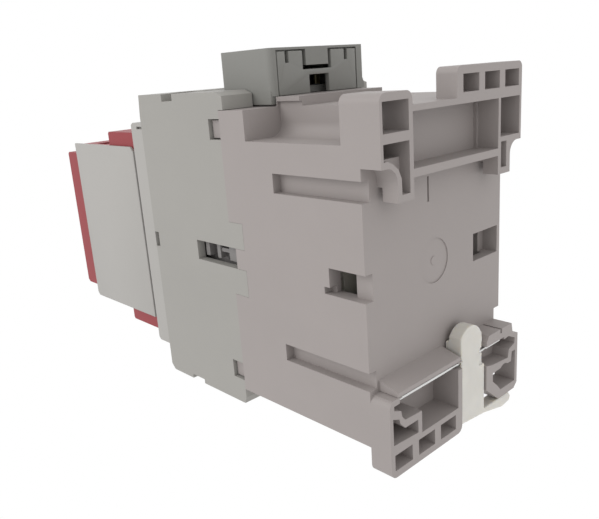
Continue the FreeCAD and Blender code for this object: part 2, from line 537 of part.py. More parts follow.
def front_casing():
    shell = prism("casing_outline", "yz", [
        ("-casing_front", "-casing_bottom + 1.4"), ("-casing_front + 1.3", "-casing_bottom"),
        ("-seam - 0.6", "-casing_bottom"), ("-seam", "-casing_bottom + 1.6"), ("-seam", "overhang_low"),
        ("-overhang", "overhang_low"), ("-overhang", "casing_top - 0.8"), ("-seam - 0.7", "casing_top"),
        ("-casing_front + 0.5", "casing_top"), ("-casing_front", "casing_top - 5")], HALF)
    teeth = []
    for side, span in (("near", ("half_wide - casing_wall", "half_wide")),
                       ("far", ("-half_wide", "casing_wall - half_wide"))):
        teeth.append(block(f"tooth_up_{side}", span, ("-seam - 1", "-tooth_back"),
                           ("window_high + fit", "tooth_high")))
        teeth.append(block(f"tooth_down_{side}", span, ("-seam - 1", "-tooth_back"),
                           ("-tooth_low", "-window_low - fit")))
    cuts = [block("casing_room", ("casing_wall - half_wide", "half_wide - casing_wall"),
                  ("casing_wall - casing_front", "over - seam"),
                  ("-casing_bottom + casing_wall", "base_top - casing_wall")),
            block("casing_roof_room", ("casing_wall - half_wide", "half_wide - casing_wall"),
                  ("casing_wall - casing_front", "-module_front - 2.7"), ("0", "casing_top - casing_wall")),
            block("module_notch", ("-module_half - play", "module_half + play"),
                  ("-module_front - 0.7", "over"),
                  ("overhang_low", "casing_top + over")),
            block("roof_groove", ("-half_wide - over", "half_wide + over"), ("-groove_front", "-groove_back"),
                  ("casing_top - groove_deep", "casing_top + over")),
            block("floor_groove", ("-half_wide - over", "half_wide + over"),
                  ("-groove_front - 0.7", "-groove_back"),
                  ("-casing_bottom - over", "1.1 - casing_bottom")),
            block("stem_hole", ("-stem_half_x - play", "stem_half_x + play"),
                  ("-casing_front - over", "-casing_front + 3"),
                  ("-stem_half_z - play", "stem_half_z + play"))]
    near = [block("side_window", ("half_wide - casing_wall - 1", "half_wide + over"),
                  ("-window_front", "over - seam"),
                  ("-window_low - fit", "window_high + fit")),
            block("snap_window_up", ("half_wide - casing_wall - 1", "half_wide + over"),
                  ("-snap_front", "over - seam"),
                  ("snap_mid - snap_half", "snap_mid + snap_half")),
            block("snap_window_down", ("half_wide - casing_wall - 1", "half_wide + over"),
                  ("-snap_front", "over - seam"),
                  ("-snap_mid - snap_half", "snap_half - snap_mid")),
            block("small_slot", ("half_wide - 1.5", "half_wide + over"),
                  ("-casing_front - over", "-casing_front + 1.7"),
                  ("-1.9", "1.8"))]
    cuts += near + [other_side(piece.Name + "_far", piece) for piece in near]
    inside = []
    for place, middle in pole_places():
        for level, sign in (("line", ""), ("load", "-")):
            up = f"{sign}screw_up"
            cuts.append(rod(f"driver_{level}_{place}", "y", (middle, "-casing_front - over", up),
                            "driver_radius", "casing_wall + 2"))
            entry = ("casing_top - casing_wall - 1", "casing_top + over") if not sign else (
                "-casing_bottom - over", "1 + casing_wall - casing_bottom")
            cuts.append(block(f"entry_{level}_{place}", (f"{middle} - entry_half", f"{middle} + entry_half"),
                              ("-entry_front", "-entry_back"), entry))
    for level, sign in (("line", ""), ("load", "-")):
        inside.append(block(f"shelf_{level}", ("casing_wall - half_wide - 0.5",
                                               "half_wide - casing_wall + 0.5"),
                            ("bar_thick - terminal_front", "bar_thick - terminal_front + 3"),
                            upright(sign, "riser + bar_thick", "shelf_top")))
    for place, middle in ((1, "-pole_pitch / 2"), (2, "pole_pitch / 2")):
        depth = ("1 - casing_front", "-module_front - 2")
        thick = (f"{middle} - pier / 2", f"{middle} + pier / 2")
        inside.append(block(f"pier_{place}", thick, depth, ("riser + 3.5", "casing_top - 1")))
        inside.append(block(f"low_pier_{place}", thick, depth, ("1 - casing_bottom", "-riser - 3.5")))
        for level, sign in (("line", ""), ("load", "-")):
            inside.append(block(f"rib_{level}_{place}", (f"{middle} - rib / 2", f"{middle} + rib / 2"), depth,
                                upright(sign, "carrier_half_z + 1.2", "riser + 4.5")))
    tunnels = [rod(f"coil_driver_{place}", "y", (middle, "-casing_front - over", "coil_screw_up"),
                   "driver_small", "casing_front - seam")
               for place, middle in ((1, "-pole_pitch / 2"), (2, "pole_pitch / 2"))]
    hollow = carved("casing_hollow", fused("casing_solid", [shell] + teeth), cuts)
    blades = [block("blade_slot_near", ("coil_blade_in - play", "coil_blade_out + play"),
                    ("-blade_front - 0.5", "2 * blade - blade_front + 0.5"),
                    ("overhang_low - casing_wall - 1", "overhang_low + 1"))]
    blades.append(other_side("blade_slot_far", blades[0]))
    return node("front_casing", carved("front_casing", fused("casing_full", [hollow] + inside),
                                       blades + tunnels))


def front_frame():
    plate = prism("frame_outline", "yz", [
        ("-casing_front", "-frame_high"), ("-casing_front", "frame_high"),
        ("0.8 - frame_front", "frame_high"),
        ("-frame_front", "frame_high - 0.6"), ("-frame_front", "0.7 - frame_high"),
        ("0.7 - frame_front", "-frame_high")], HALF)
    cuts = [block("frame_room", ("casing_wall - half_wide", "half_wide - casing_wall"),
                  ("casing_wall - frame_front", "over - casing_front"),
                  ("casing_wall - frame_high", "frame_high - casing_wall")),
            block("frame_stem", ("-stem_half_x - play", "stem_half_x + play"),
                  ("-frame_front - over", "casing_wall - frame_front + 1"),
                  ("-stem_half_z - play", "stem_half_z + play"))]
    for place, middle in pole_places():
        for level, sign in (("line", ""), ("load", "-")):
            cuts.append(rod(f"frame_driver_{level}_{place}", "y",
                            (middle, "-frame_front - over", f"{sign}screw_up"),
                            "driver_radius", "6 + over"))
    for place, middle in ((1, "-pole_pitch / 2"), (2, "pole_pitch / 2")):
        cuts.append(rod(f"frame_coil_driver_{place}", "y", (middle, "-frame_front - over", "coil_screw_up"),
                        "driver_small", "6 + over"))
    for side, sign in (("near", ""), ("far", "-")):
        cuts.append(block(f"frame_nick_{side}", (f"{sign}half_wide - 0.7", f"{sign}half_wide + 0.7"),
                          ("2.5 - frame_front", "over - casing_front"),
                          ("frame_high - 1.5", "frame_high - 0.9")))
        for level, up in (("top", ""), ("bottom", "-")):
            cuts.append(block(f"hook_slot_{side}_{level}",
                              (f"{sign}aux_hook_x - hook_half - play",
                               f"{sign}aux_hook_x + hook_half + play"),
                              ("-frame_front - over", "casing_wall - frame_front + 1"),
                              (f"{up}aux_nose - 1.5", f"{up}aux_nose + 1.5")))
    spigots = [block(f"frame_spigot_{side}", span, ("-casing_front - 3", "-casing_front"), ("-4", "4"))
               for side, span in (("near", ("half_wide - casing_wall - 0.5",
                                            "half_wide - casing_wall + 0.2")),
                                  ("far", ("casing_wall - half_wide - 0.2",
                                           "casing_wall - half_wide + 0.5")))]
    return node("front_frame", fused("front_frame", [carved("frame_cut", plate, cuts)] + spigots))


# ---------------------------------------------------------------- magnet and coil
def plane_of(body, role):
    return next(item for item in body.Origin.OriginFeatures if item.Role == role)


def padded(label, role, points, start, length):
    """A PartDesign body with one padded sketch on an origin plane; start moves it along its normal."""
    body = doc.addObject("PartDesign::Body", label)
    sketch = sketched(body, label + "_sketch", points)
    sketch.AttachmentSupport = [(plane_of(body, role), "")]
    sketch.MapMode = "FlatFace"
    sketch.setExpression("AttachmentOffset.Base.z", bound(start))
    pad = body.newObject("PartDesign::Pad", label + "_pad")
    pad.Profile = sketch
    pad.setExpression("Length", bound(length))
    body.Tip = pad
    return body


def magnet():
    yoke = "-yoke_back - yoke_thick"
    core = padded("core_body", "YZ_Plane", [
        ("-yoke_back", "-core_half"), ("-yoke_back", "core_half"), ("-leg_tip", "core_half"),
        ("-leg_tip", "core_half - core_leg"), (yoke, "core_half - core_leg"), (yoke, "core_middle"),
        ("-leg_tip", "core_middle"), ("-leg_tip", "-core_middle"), (yoke, "-core_middle"),
        (yoke, "core_leg - core_half"), ("-leg_tip", "core_leg - core_half"), ("-leg_tip", "-core_half")],
        "-stack_half", "2 * stack_half")
    grooves = [block(f"ring_groove_{place}", ("-stack_half - over", "stack_half + over"),
                     ("-leg_tip - over", "ring_deep - leg_tip"),
                     (f"{middle} - ring_thick / 2", f"{middle} + ring_thick / 2"))
               for place, middle in ((1, "core_half - core_leg / 2"), (2, "core_leg / 2 - core_half"))]
    node("magnet_core", carved("magnet_core", core, grooves))
    for place, (inner, outer) in enumerate(((
            "core_half - core_leg / 2", "core_half"), ("core_leg / 2 - core_half", "-core_half")), start=1):
        low, high = (inner, outer) if place == 1 else (outer, inner)
        groove = (f"{inner} - ring_thick / 2", f"{inner} + ring_thick / 2")
        reach = "stack_half + ring_thick"
        bar_in = block(f"ring_in_{place}", (f"-{reach.replace(' + ', ' - ')}", reach),
                       ("-leg_tip + fit", "ring_deep - leg_tip"), groove)
        edge = (f"{outer}", f"{outer} + ring_thick") if place == 1 else (f"{outer} - ring_thick", f"{outer}")
        bar_out = block(f"ring_out_{place}", ("-stack_half - ring_thick", reach),
                        ("-leg_tip + fit", "ring_deep - leg_tip"), edge)
        span = (groove[0], edge[1]) if place == 1 else (edge[0], groove[1])
        sides = [block(f"ring_side_{place}_{side}", ends, ("-leg_tip + fit", "ring_deep - leg_tip"), span)
                 for side, ends in (("near", ("stack_half", reach)),
                                    ("far", ("-stack_half - ring_thick", "-stack_half")))]
        node(f"shading_ring_{place}", fused(f"shading_ring_{place}", [bar_in, bar_out] + sides))
    node("core_buffer", padded("core_buffer", "XZ_Plane", [
        ("-stack_half", "-core_half + 2"), ("stack_half", "-core_half + 2"), ("stack_half", "core_half - 2"),
        ("-stack_half", "core_half - 2")], "yoke_back - pad_thick", "pad_thick"))
    plate = block("armature_plate", ("-stack_half", "stack_half"),
                  ("-leg_tip - stroke - armature_thick", "-leg_tip - stroke"),
                  ("-core_half", "core_half"))
    slot = block("armature_slot", ("-clip_half", "clip_half"), ("-leg_tip - stroke - armature_thick - over",
                 "-leg_tip - stroke - armature_thick + 2"), ("-3", "3"))
    node("armature", carved("armature", plate, [slot]))
    face = "-leg_tip - stroke - armature_thick"
    node("armature_clip", block("armature_clip", ("-clip_half", "clip_half"),
                                ("-foot_front + 1.5", f"{face} + 2"), ("-3", "3")))


def coil():
    back = "-yoke_back - yoke_thick - fit"
    front = "-leg_tip"
    inner_x, inner_z = "stack_half + fit", "core_middle + fit"
    tube_x, tube_z = "stack_half + fit + bobbin_wall", "core_middle + fit + bobbin_wall"
    tube = block("bobbin_tube", (f"-({tube_x})", tube_x), (front, back), (f"-({tube_z})", tube_z))
    flanges = [block(f"bobbin_flange_{side}", ("-bobbin_half_x", "bobbin_half_x"), span,
                     ("-bobbin_half_z", "bobbin_half_z"))
               for side, span in (("back", (f"{back} - flange", back)),
                                  ("front", (front, f"{front} + flange")))]
    bore = block("bobbin_bore", (f"-({inner_x})", inner_x), (f"{front} - over", f"{back} + over"),
                 (f"-({inner_z})", inner_z))
    node("coil_bobbin", carved("coil_bobbin", fused("bobbin_solid", [tube] + flanges), [bore]))
    pack = block("winding_pack", ("-winding_half_x", "winding_half_x"),
                 (f"{front} + flange", f"{back} - flange"),
                 ("-winding_half_z", "winding_half_z"))
    pack_round = rounded("winding_round", pack, "2.5", "y", [
        ("winding_half_x", "winding_half_z"), ("-winding_half_x", "winding_half_z"),
        ("winding_half_x", "-winding_half_z"), ("-winding_half_x", "-winding_half_z")])
    middle = block("winding_bore", (f"-({tube_x})", tube_x), (f"{front} - over", f"{back} + over"),
                   (f"-({tube_z})", tube_z))
    node("coil_winding", carved("coil_winding", pack_round, [middle]))
    for place in (1, 2):
        blade_x = ("coil_blade_in", "coil_blade_out")
        tab_x = ("pole_pitch / 2 - 2.1", "coil_blade_out")
        tab_y = ("-blade_front", "blade - blade_front")
        rise = block(f"lead_rise_{place}", blade_x, (f"{front} - blade", front),
                     ("blade_low", "blade_bend + blade"))
        run = block(f"lead_run_{place}", blade_x, ("-blade_front", front),
                    ("blade_bend", "blade_bend + blade"))
        tab = block(f"lead_tab_{place}", tab_x, tab_y, ("blade_bend", "coil_screw_up + coil_head"))
        blade = block(f"lead_blade_{place}", blade_x, tab_y, ("blade_bend", "blade_top"))
        nut = block(f"lead_nut_{place}", ("pole_pitch / 2 - 2.1", "pole_pitch / 2 + 2.1"),
                    ("blade - blade_front - fit", "blade + coil_nut - blade_front"),
                    ("coil_screw_up - 2", "coil_screw_up + 2"))
        bore = rod(f"lead_bore_{place}", "y", ("pole_pitch / 2", "-blade_front - over", "coil_screw_up"),
                   "coil_shank + fit", "blade + coil_nut + 2 * over")
        strap = carved(f"lead_strap_{place}", fused(f"lead_solid_{place}", [rise, run, tab, blade, nut]),
                       [bore])
        name = f"coil_terminal_{place}"
        node(name, other_side(name, strap) if place == 2 else strap)


# ---------------------------------------------------------------- screws
def screw(name, head, head_thick, shank, length):
    """A pan head screw along Y, its head's underside at the origin and its head towards -Y."""
    body = doc.addObject("PartDesign::Body", name + "_turned")
    sketch = sketched(body, name + "_profile", [
        ("0", f"-{head_thick}"), (f"{head} - 0.5", f"-{head_thick}"), (head, f"0.5 - {head_thick}"),
        (head, "0"),
        (shank, "0"), (shank, f"{length} - 0.6"), (f"{shank} - 0.6", length), ("0", length)])
    sketch.AttachmentSupport = [(plane_of(body, "XY_Plane"), "")]
    sketch.MapMode = "FlatFace"
    turn = body.newObject("PartDesign::Revolution", name + "_turn")
    turn.Profile = sketch
    turn.ReferenceAxis = (sketch, ["V_Axis"])
    turn.Angle = 360
    body.Tip = turn
    cross = [block(f"{name}_cross_{place}", (f"-{wide}", wide),
                   (f"-{head_thick} - over", f"cross_deep - {head_thick}"), (f"-{tall}", tall))
             for place, (wide, tall) in enumerate((("cross_wide / 2", "cross_long / 2"),
                                                   ("cross_long / 2", "cross_wide / 2")))]
    return carved(name, body, cross)


def copies(name, source, places):
    """The source set down at each place, as one group of separate solids."""
    group = []
    for index, (x, y, z) in enumerate(places, start=1):
        one = grouped(f"{name}_{index}", [source])
        for letter, text in zip("xyz", (x, y, z)):
            one.setExpression("Placement.Base." + letter, bound(text))
        group.append(one)
    return node(name, grouped(name, group))


def washer(name, half, thick, hole):
    plate = block(name + "_plate", (f"-{half}", half), ("0", thick), (f"-{half} * 0.75", f"{half} * 0.75"))
    bore = rod(name + "_bore", "y", ("0", "-over", "0"), f"{hole} + fit", f"{thick} + 2 * over")
    return carved(name, plate, [bore])


def main_terminals():
    """Line conductors above and load conductors below: each one piece from the screw to its silver tip."""
    front = "-terminal_front"
    for level, sign in (("line", ""), ("load", "-")):
        for place, middle in pole_places():
            across = (f"{middle} - terminal_half_x", f"{middle} + terminal_half_x")
            narrow = (f"{middle} - bridge_half_x", f"{middle} + bridge_half_x")
            name = f"{level}_contact_{place}"
            seat = block(name + "_seat", across, (front, f"{front} + bar_thick"),
                         upright(sign, "riser", "terminal_out"))
            riser = block(name + "_riser", narrow, (front, "bar_thick - fixed_front"),
                          upright(sign, "riser", "riser + bar_thick"))
            inner = block(name + "_inner", narrow, ("-fixed_front", "bar_thick - fixed_front"),
                          upright(sign, "fixed_in", "riser + bar_thick"))
            nut = block(name + "_nut", (f"{middle} - screw_head", f"{middle} + screw_head"),
                        (f"{front} + bar_thick",
                        f"{front} + bar_thick + nut_thick"),
                        upright(sign, "screw_up - screw_head", "terminal_out"))
            bore = rod(name + "_bore", "y", (middle, f"{front} - over", f"{sign}screw_up"),
                       "screw_shank + fit", "8")
            node(name, carved(name, fused(name + "_solid", [seat, riser, inner, nut]), [bore]))
        tips = [block(f"{level}_tip_{place}", (f"{middle} - tip_half", f"{middle} + tip_half"),
                      ("-fixed_front - tip_thick", "-fixed_front"),
                      (f"{sign}tip_up - tip_half", f"{sign}tip_up + tip_half")) for place,
                      middle in pole_places()]
        node(f"{level}_tips", grouped(f"{level}_tips", tips))
        seats = [(middle, f"{front} - washer_thick", f"{sign}screw_up") for _, middle in pole_places()]
        copies(f"{level}_washers", washer(f"{level}_washer", "washer_half", "washer_thick", "screw_shank"),
               seats)
        copies(f"{level}_screws", screw(f"{level}_screw", "screw_head", "screw_head_thick", "screw_shank",
                                        "screw_long"), seats)
    coil_places = [(f"{sign}pole_pitch / 2", "-blade_front", "coil_screw_up") for sign in ("", "-")]
    coil_screw = screw("coil_screw", "coil_head", "coil_head_thick", "coil_shank", "(blade + coil_nut)")
    copies("coil_screws", coil_screw, coil_places)


# ---------------------------------------------------------------- moving contacts
def carrier():
    beam = block("carrier_beam", ("-carrier_half_x", "carrier_half_x"), ("-carrier_front", "1 - foot_front"),
                 ("-carrier_half_z", "carrier_half_z"))
    sole = block("carrier_sole", ("-carrier_half_x", "carrier_half_x"), ("-foot_front", "-carrier_rear"),
                 ("-foot_half_z", "foot_half_z"))
    stem = block("carrier_stem", ("-stem_half_x", "stem_half_x"), ("-stem_front", "1 - carrier_front"),
                 ("-stem_half_z", "stem_half_z"))
    guides = []
    for side, sign in (("near", ""), ("far", "-")):
        whole = ("-rail_half_z", "rail_half_z")
        guides.append(block(f"guide_web_{side}",
                            upright(sign, "carrier_half_x - 0.4", "carrier_half_x + 0.7"),
                            ("-window_front + 0.6", "1 - carrier_rear"), whole))
        guides.append(block(f"guide_bar_{side}", upright(sign, "carrier_half_x", "rail_out"),
                            ("-window_front + 1", "2.4 - window_front"), whole))
        guides.append(block(f"guide_mid_{side}", upright(sign, "carrier_half_x", "rail_out"),
                            ("-foot_front - 0.9", "0.3 - foot_front"), whole))
        guides.append(block(f"guide_rear_{side}", upright(sign, "carrier_half_x", "rail_out"),
                            ("-carrier_rear - 1.6", "1 - carrier_rear"), whole))
        guides.append(block(f"guide_cross_{side}", upright(sign, "carrier_half_x", "rail_out - 0.3"),
                            ("-foot_front", "-carrier_rear - 1.2"), ("-0.1", "0.8")))
    cells = [block(f"carrier_cell_{place}", (f"{middle} - cell_half_x", f"{middle} + cell_half_x"),
                   ("-cell_front", "-cell_rear"), ("-carrier_half_z - over", "carrier_half_z + over"))
             for place, middle in pole_places()]
    socket = block("clip_socket", ("-clip_half", "clip_half"), ("1.5 - foot_front", "over - carrier_rear"),
                   ("-3", "3"))
    node("contact_carrier", carved("contact_carrier", fused("carrier_solid", [beam, sole, stem] + guides),
                                   cells + [socket]))


def bridges():
    tip_back = "-fixed_front - tip_thick - contact_gap"
    bar_back = f"{tip_back} - tip_thick"
    for place, middle in pole_places():
        name = f"bridge_{place}"
        across = (f"{middle} - bridge_half_x", f"{middle} + bridge_half_x")
        bar_piece = prism(name, "yz", [
            (f"{bar_back} - bar_thick", "-bridge_half_z + 3"),
            (f"{bar_back} - bar_thick + 0.4", "-bridge_half_z"),
            (bar_back, "-bridge_half_z"), (bar_back, "bridge_half_z"),
            (f"{bar_back} - bar_thick + 0.4", "bridge_half_z"),
            (f"{bar_back} - bar_thick", "bridge_half_z - 3")], across)
        node(name, bar_piece)
        node(f"contact_spring_{place}", coil_spring(f"contact_spring_{place}", middle, "0",
                                                    ("-cell_front", f"{bar_back} - bar_thick"),
                                                    "spring_radius", "spring_wire", "spring_turns"))
    tips = []
    for place, middle in pole_places():
        for level, sign in (("line", ""), ("load", "-")):
            tips.append(block(f"bridge_tip_{level}_{place}",
                              (f"{middle} - tip_half", f"{middle} + tip_half"), (bar_back, tip_back),
                              (f"{sign}tip_up - tip_half", f"{sign}tip_up + tip_half")))
    node("bridge_tips", grouped("bridge_tips", tips))
    for place, sign in ((1, ""), (2, "-")):
        node(f"return_spring_{place}", coil_spring(f"return_spring_{place}", f"{sign}return_x", "0",
                                                   ("-carrier_rear", "-leg_tip"),
                                                   "return_radius", "return_wire", "return_turns"))


# ---------------------------------------------------------------- auxiliary block
def aux_columns():
    return [(place + 1, f"{place - 1.5} * aux_pitch",
             "open" if place in (0, 3) else "closed") for place in range(4)]


def aux_housing():
    outer = prism("aux_outline", "yz", [
        ("-aux_back", "-aux_shoulder"), ("-aux_back", "aux_shoulder"), ("0.4 - aux_step", "aux_shoulder"),
        ("-aux_step", "aux_shoulder - 0.5"), ("-aux_step", "aux_high - 0.4"),
        ("-aux_panel", "aux_high - 0.4"),
        ("-aux_panel", "0.4 - aux_high"), ("-aux_step", "0.4 - aux_high"),
        ("-aux_step", "0.5 - aux_shoulder"),
        ("0.4 - aux_step", "-aux_shoulder")], ("aux_inset - half_wide", "half_wide - aux_inset"))
    room_x = "half_wide - aux_inset - aux_wall"
    cuts = [block("aux_room", (f"-({room_x})", room_x), ("-aux_panel - over", "-aux_back - aux_wall"),
                  ("aux_wall + 0.4 - aux_high", "aux_high - aux_wall - 0.4")),
            block("aux_stem_hole", ("-stem_half_x - play", "stem_half_x + play"),
                  ("-aux_back - aux_wall - 1", "over - aux_back"),
                  ("-stem_half_z - play", "stem_half_z + play"))]
    ribs = []
    for place, middle, _ in aux_columns():
        for level, span in (("top", ("aux_high - aux_wall - 1", "aux_high + over")),
                            ("bottom", ("-aux_high - over", "1 + aux_wall - aux_high"))):
            cuts.append(block(f"aux_entry_{level}_{place}", (f"{middle} - 2.6", f"{middle} + 2.6"),
                              ("-aux_entry_front", "-aux_entry_back"), span))
    for place in range(3):
        middle = f"{place - 1} * aux_pitch"
        for level, span in (("top", ("aux_carrier_z + 0.6", "aux_high - aux_wall")),
                            ("bottom", ("aux_wall - aux_high", "-aux_carrier_z - 0.6"))):
            ribs.append(block(f"aux_rib_{level}_{place}",
                              (f"{middle} - aux_rib / 2", f"{middle} + aux_rib / 2"),
                              ("0.4 - aux_panel", "-aux_back - aux_wall + 0.2"), span))
    for level, sign in (("top", ""), ("bottom", "-")):
        ribs.append(block(f"aux_shelf_{level}", (f"-({room_x}) - 0.2", f"{room_x} + 0.2"),
                          ("aux_bar - aux_bar_front", "aux_bar - aux_bar_front + 2.5"),
                          upright(sign, "aux_tip_up + aux_tip_half + over",
                                  "aux_screw_up - aux_head - play")))
    hooks = []
    for side, sign in (("near", ""), ("far", "-")):
        for level, up in (("top", ""), ("bottom", "-")):
            ends = (f"{sign}aux_hook_x - hook_half", f"{sign}aux_hook_x + hook_half")
            hooks.append(block(f"aux_hook_{side}_{level}", ends,
                               ("-aux_back - 0.5", "casing_wall - frame_front + over"),
                               upright(up, "aux_nose - 1.2", "aux_nose + 0.6")))
            hooks.append(block(f"aux_barb_{side}_{level}", ends,
                               ("casing_wall - frame_front", "casing_wall - frame_front + over"),
                               upright(up, "aux_nose", "aux_nose + 2.4")))
    node("aux_housing", fused("aux_housing", [carved("aux_shell", outer, cuts)] + ribs + hooks))


def aux_covers():
    outline = [("-aux_back", "-aux_high"), ("-aux_back", "aux_high - panel_cut"),
               ("-aux_back - panel_cut", "aux_high"),
               ("-aux_panel", "aux_high"), ("-aux_panel", "0.9 - aux_high"), ("0.9 - aux_panel", "-aux_high")]
    node("aux_side_near", prism("aux_side_near", "yz", outline, ("half_wide - aux_inset", "half_wide")))
    node("aux_side_far", prism("aux_side_far", "yz", outline, ("-half_wide", "aux_inset - half_wide")))
    plate = prism("aux_cover_outline", "yz", [
        ("-aux_panel", "-aux_nose"), ("-aux_panel", "aux_nose"), ("0.5 - aux_front", "aux_nose"),
        ("-aux_front", "aux_nose - 0.5"), ("-aux_front", "0.7 - aux_nose"), ("0.9 - aux_front", "-aux_nose")],
        ("aux_inset - half_wide", "half_wide - aux_inset"))
    cuts = [block("cover_room", ("2 * aux_wall + aux_inset - half_wide",
                                 "half_wide - aux_inset - 2 * aux_wall"),
                  ("aux_wall + 0.6 - aux_front", "over - aux_panel"),
                  ("aux_wall - aux_nose", "aux_nose - aux_wall")),
            block("mark_window", ("-aux_mark_x - play", "aux_mark_x + play"),
                  ("-aux_front - over", "3 - aux_front"),
                  ("-aux_mark_z - play", "aux_mark_z + play"))]
    for place, middle, _ in aux_columns():
        for level, sign in (("top", ""), ("bottom", "-")):
            cuts.append(rod(f"cover_driver_{level}_{place}", "y",
                            (middle, "-aux_front - over", f"{sign}aux_screw_up"), "aux_driver", "5"))
    node("aux_front_cover", carved("aux_front_cover", plate, cuts))


def aux_contacts():
    front = "-aux_bar_front"
    for level, sign in (("top", ""), ("bottom", "-")):
        bars = []
        seats = []
        for place, middle, kind in aux_columns():
            name = f"aux_{level}_{place}"
            strip = block(name + "_strip", (f"{middle} - aux_half_x", f"{middle} + aux_half_x"),
                          (front, f"{front} + aux_bar"),
                          upright(sign, "aux_in", "aux_out"))
            tip_y = (f"{front} - aux_tip", front) if kind == "open" else (f"{front} + aux_bar",
                                                                          f"{front} + aux_bar + aux_tip")
            tip = block(name + "_tip", (f"{middle} - 1.4", f"{middle} + 1.4"), tip_y,
                        upright(sign, "aux_tip_up - aux_tip_half", "aux_tip_up + aux_tip_half"))
            nut = block(name + "_nut", (f"{middle} - aux_head", f"{middle} + aux_head"),
                        (f"{front} + aux_bar", f"{front} + aux_bar + 2"),
                        upright(sign, "aux_screw_up - aux_head", "aux_screw_up + aux_head"))
            bore = rod(name + "_bore", "y", (middle, f"{front} - over", f"{sign}aux_screw_up"),
                       "aux_shank + fit", "6")
            bars.append(carved(name, fused(name + "_solid", [strip, tip, nut]), [bore]))
            seats.append((middle, f"{front} - aux_washer_thick", f"{sign}aux_screw_up"))
        node(f"aux_{level}_contacts", grouped(f"aux_{level}_contacts", bars))
        copies(f"aux_{level}_washers", washer(f"aux_{level}_washer", "(aux_head + 0.4)", "aux_washer_thick",
                                              "aux_shank"), seats)
        copies(f"aux_{level}_screws", screw(f"aux_{level}_screw", "aux_head", "aux_head_thick", "aux_shank",
                                            "aux_screw_long"), seats)


def aux_moving():
    beam = block("aux_beam", ("-aux_carrier_x", "aux_carrier_x"), ("-aux_carrier_front", "-aux_carrier_rear"),
                 ("-aux_carrier_z", "aux_carrier_z"))
    stem = block("aux_stem", ("-stem_half_x", "stem_half_x"), ("-aux_carrier_rear - 1", "-stem_front"),
                 ("-stem_half_z", "stem_half_z"))
    mark = block("aux_mark", ("-aux_mark_x", "aux_mark_x"), ("-aux_mark_front", "1 - aux_carrier_front"),
                 ("-aux_mark_z", "aux_mark_z"))
    cells = []
    bars = []
    springs = []
    front = "-aux_bar_front"
    for place, middle, kind in aux_columns():
        if kind == "open":
            face = f"{front} - aux_tip - aux_gap"
            tip_y, bar_y = (f"{face} - aux_tip", face), (f"{face} - aux_tip - aux_bar", f"{face} - aux_tip")
            spring_y = ("-aux_cell_front", bar_y[0])
            cell_y = ("-aux_cell_front", bar_y[1])
        else:
            face = f"{front} + aux_bar + aux_tip + fit"
            tip_y, bar_y = (face, f"{face} + aux_tip"), (f"{face} + aux_tip", f"{face} + aux_tip + aux_bar")
            spring_y = (bar_y[1], "-aux_cell_rear")
            cell_y = (f"{bar_y[0]} - aux_lag", "-aux_cell_rear")
        cells.append(block(f"aux_cell_{place}", (f"{middle} - aux_cell_x", f"{middle} + aux_cell_x"), cell_y,
                           ("-aux_carrier_z - over", "aux_carrier_z + over")))
        across = (f"{middle} - aux_bridge_x", f"{middle} + aux_bridge_x")
        strip = block(f"aux_bridge_bar_{place}", across, bar_y, ("-aux_bridge_z", "aux_bridge_z"))
        tips = [block(f"aux_bridge_tip_{place}_{level}", (f"{middle} - 1.4", f"{middle} + 1.4"), tip_y,
                      (f"{sign}aux_tip_up - aux_tip_half", f"{sign}aux_tip_up + aux_tip_half")) for level,
                      sign in (("top", ""), ("bottom", "-"))]
        bars.append(fused(f"aux_bridge_{place}", [strip] + tips))
        springs.append(coil_spring(f"aux_spring_{place}", middle, "0", spring_y, "aux_coil",
                                   "aux_spring_wire", "spring_turns"))
    node("aux_carrier", carved("aux_carrier", fused("aux_carrier_solid", [beam, stem, mark]), cells))
    node("aux_bridges", grouped("aux_bridges", bars))
    node("aux_springs", grouped("aux_springs", springs))


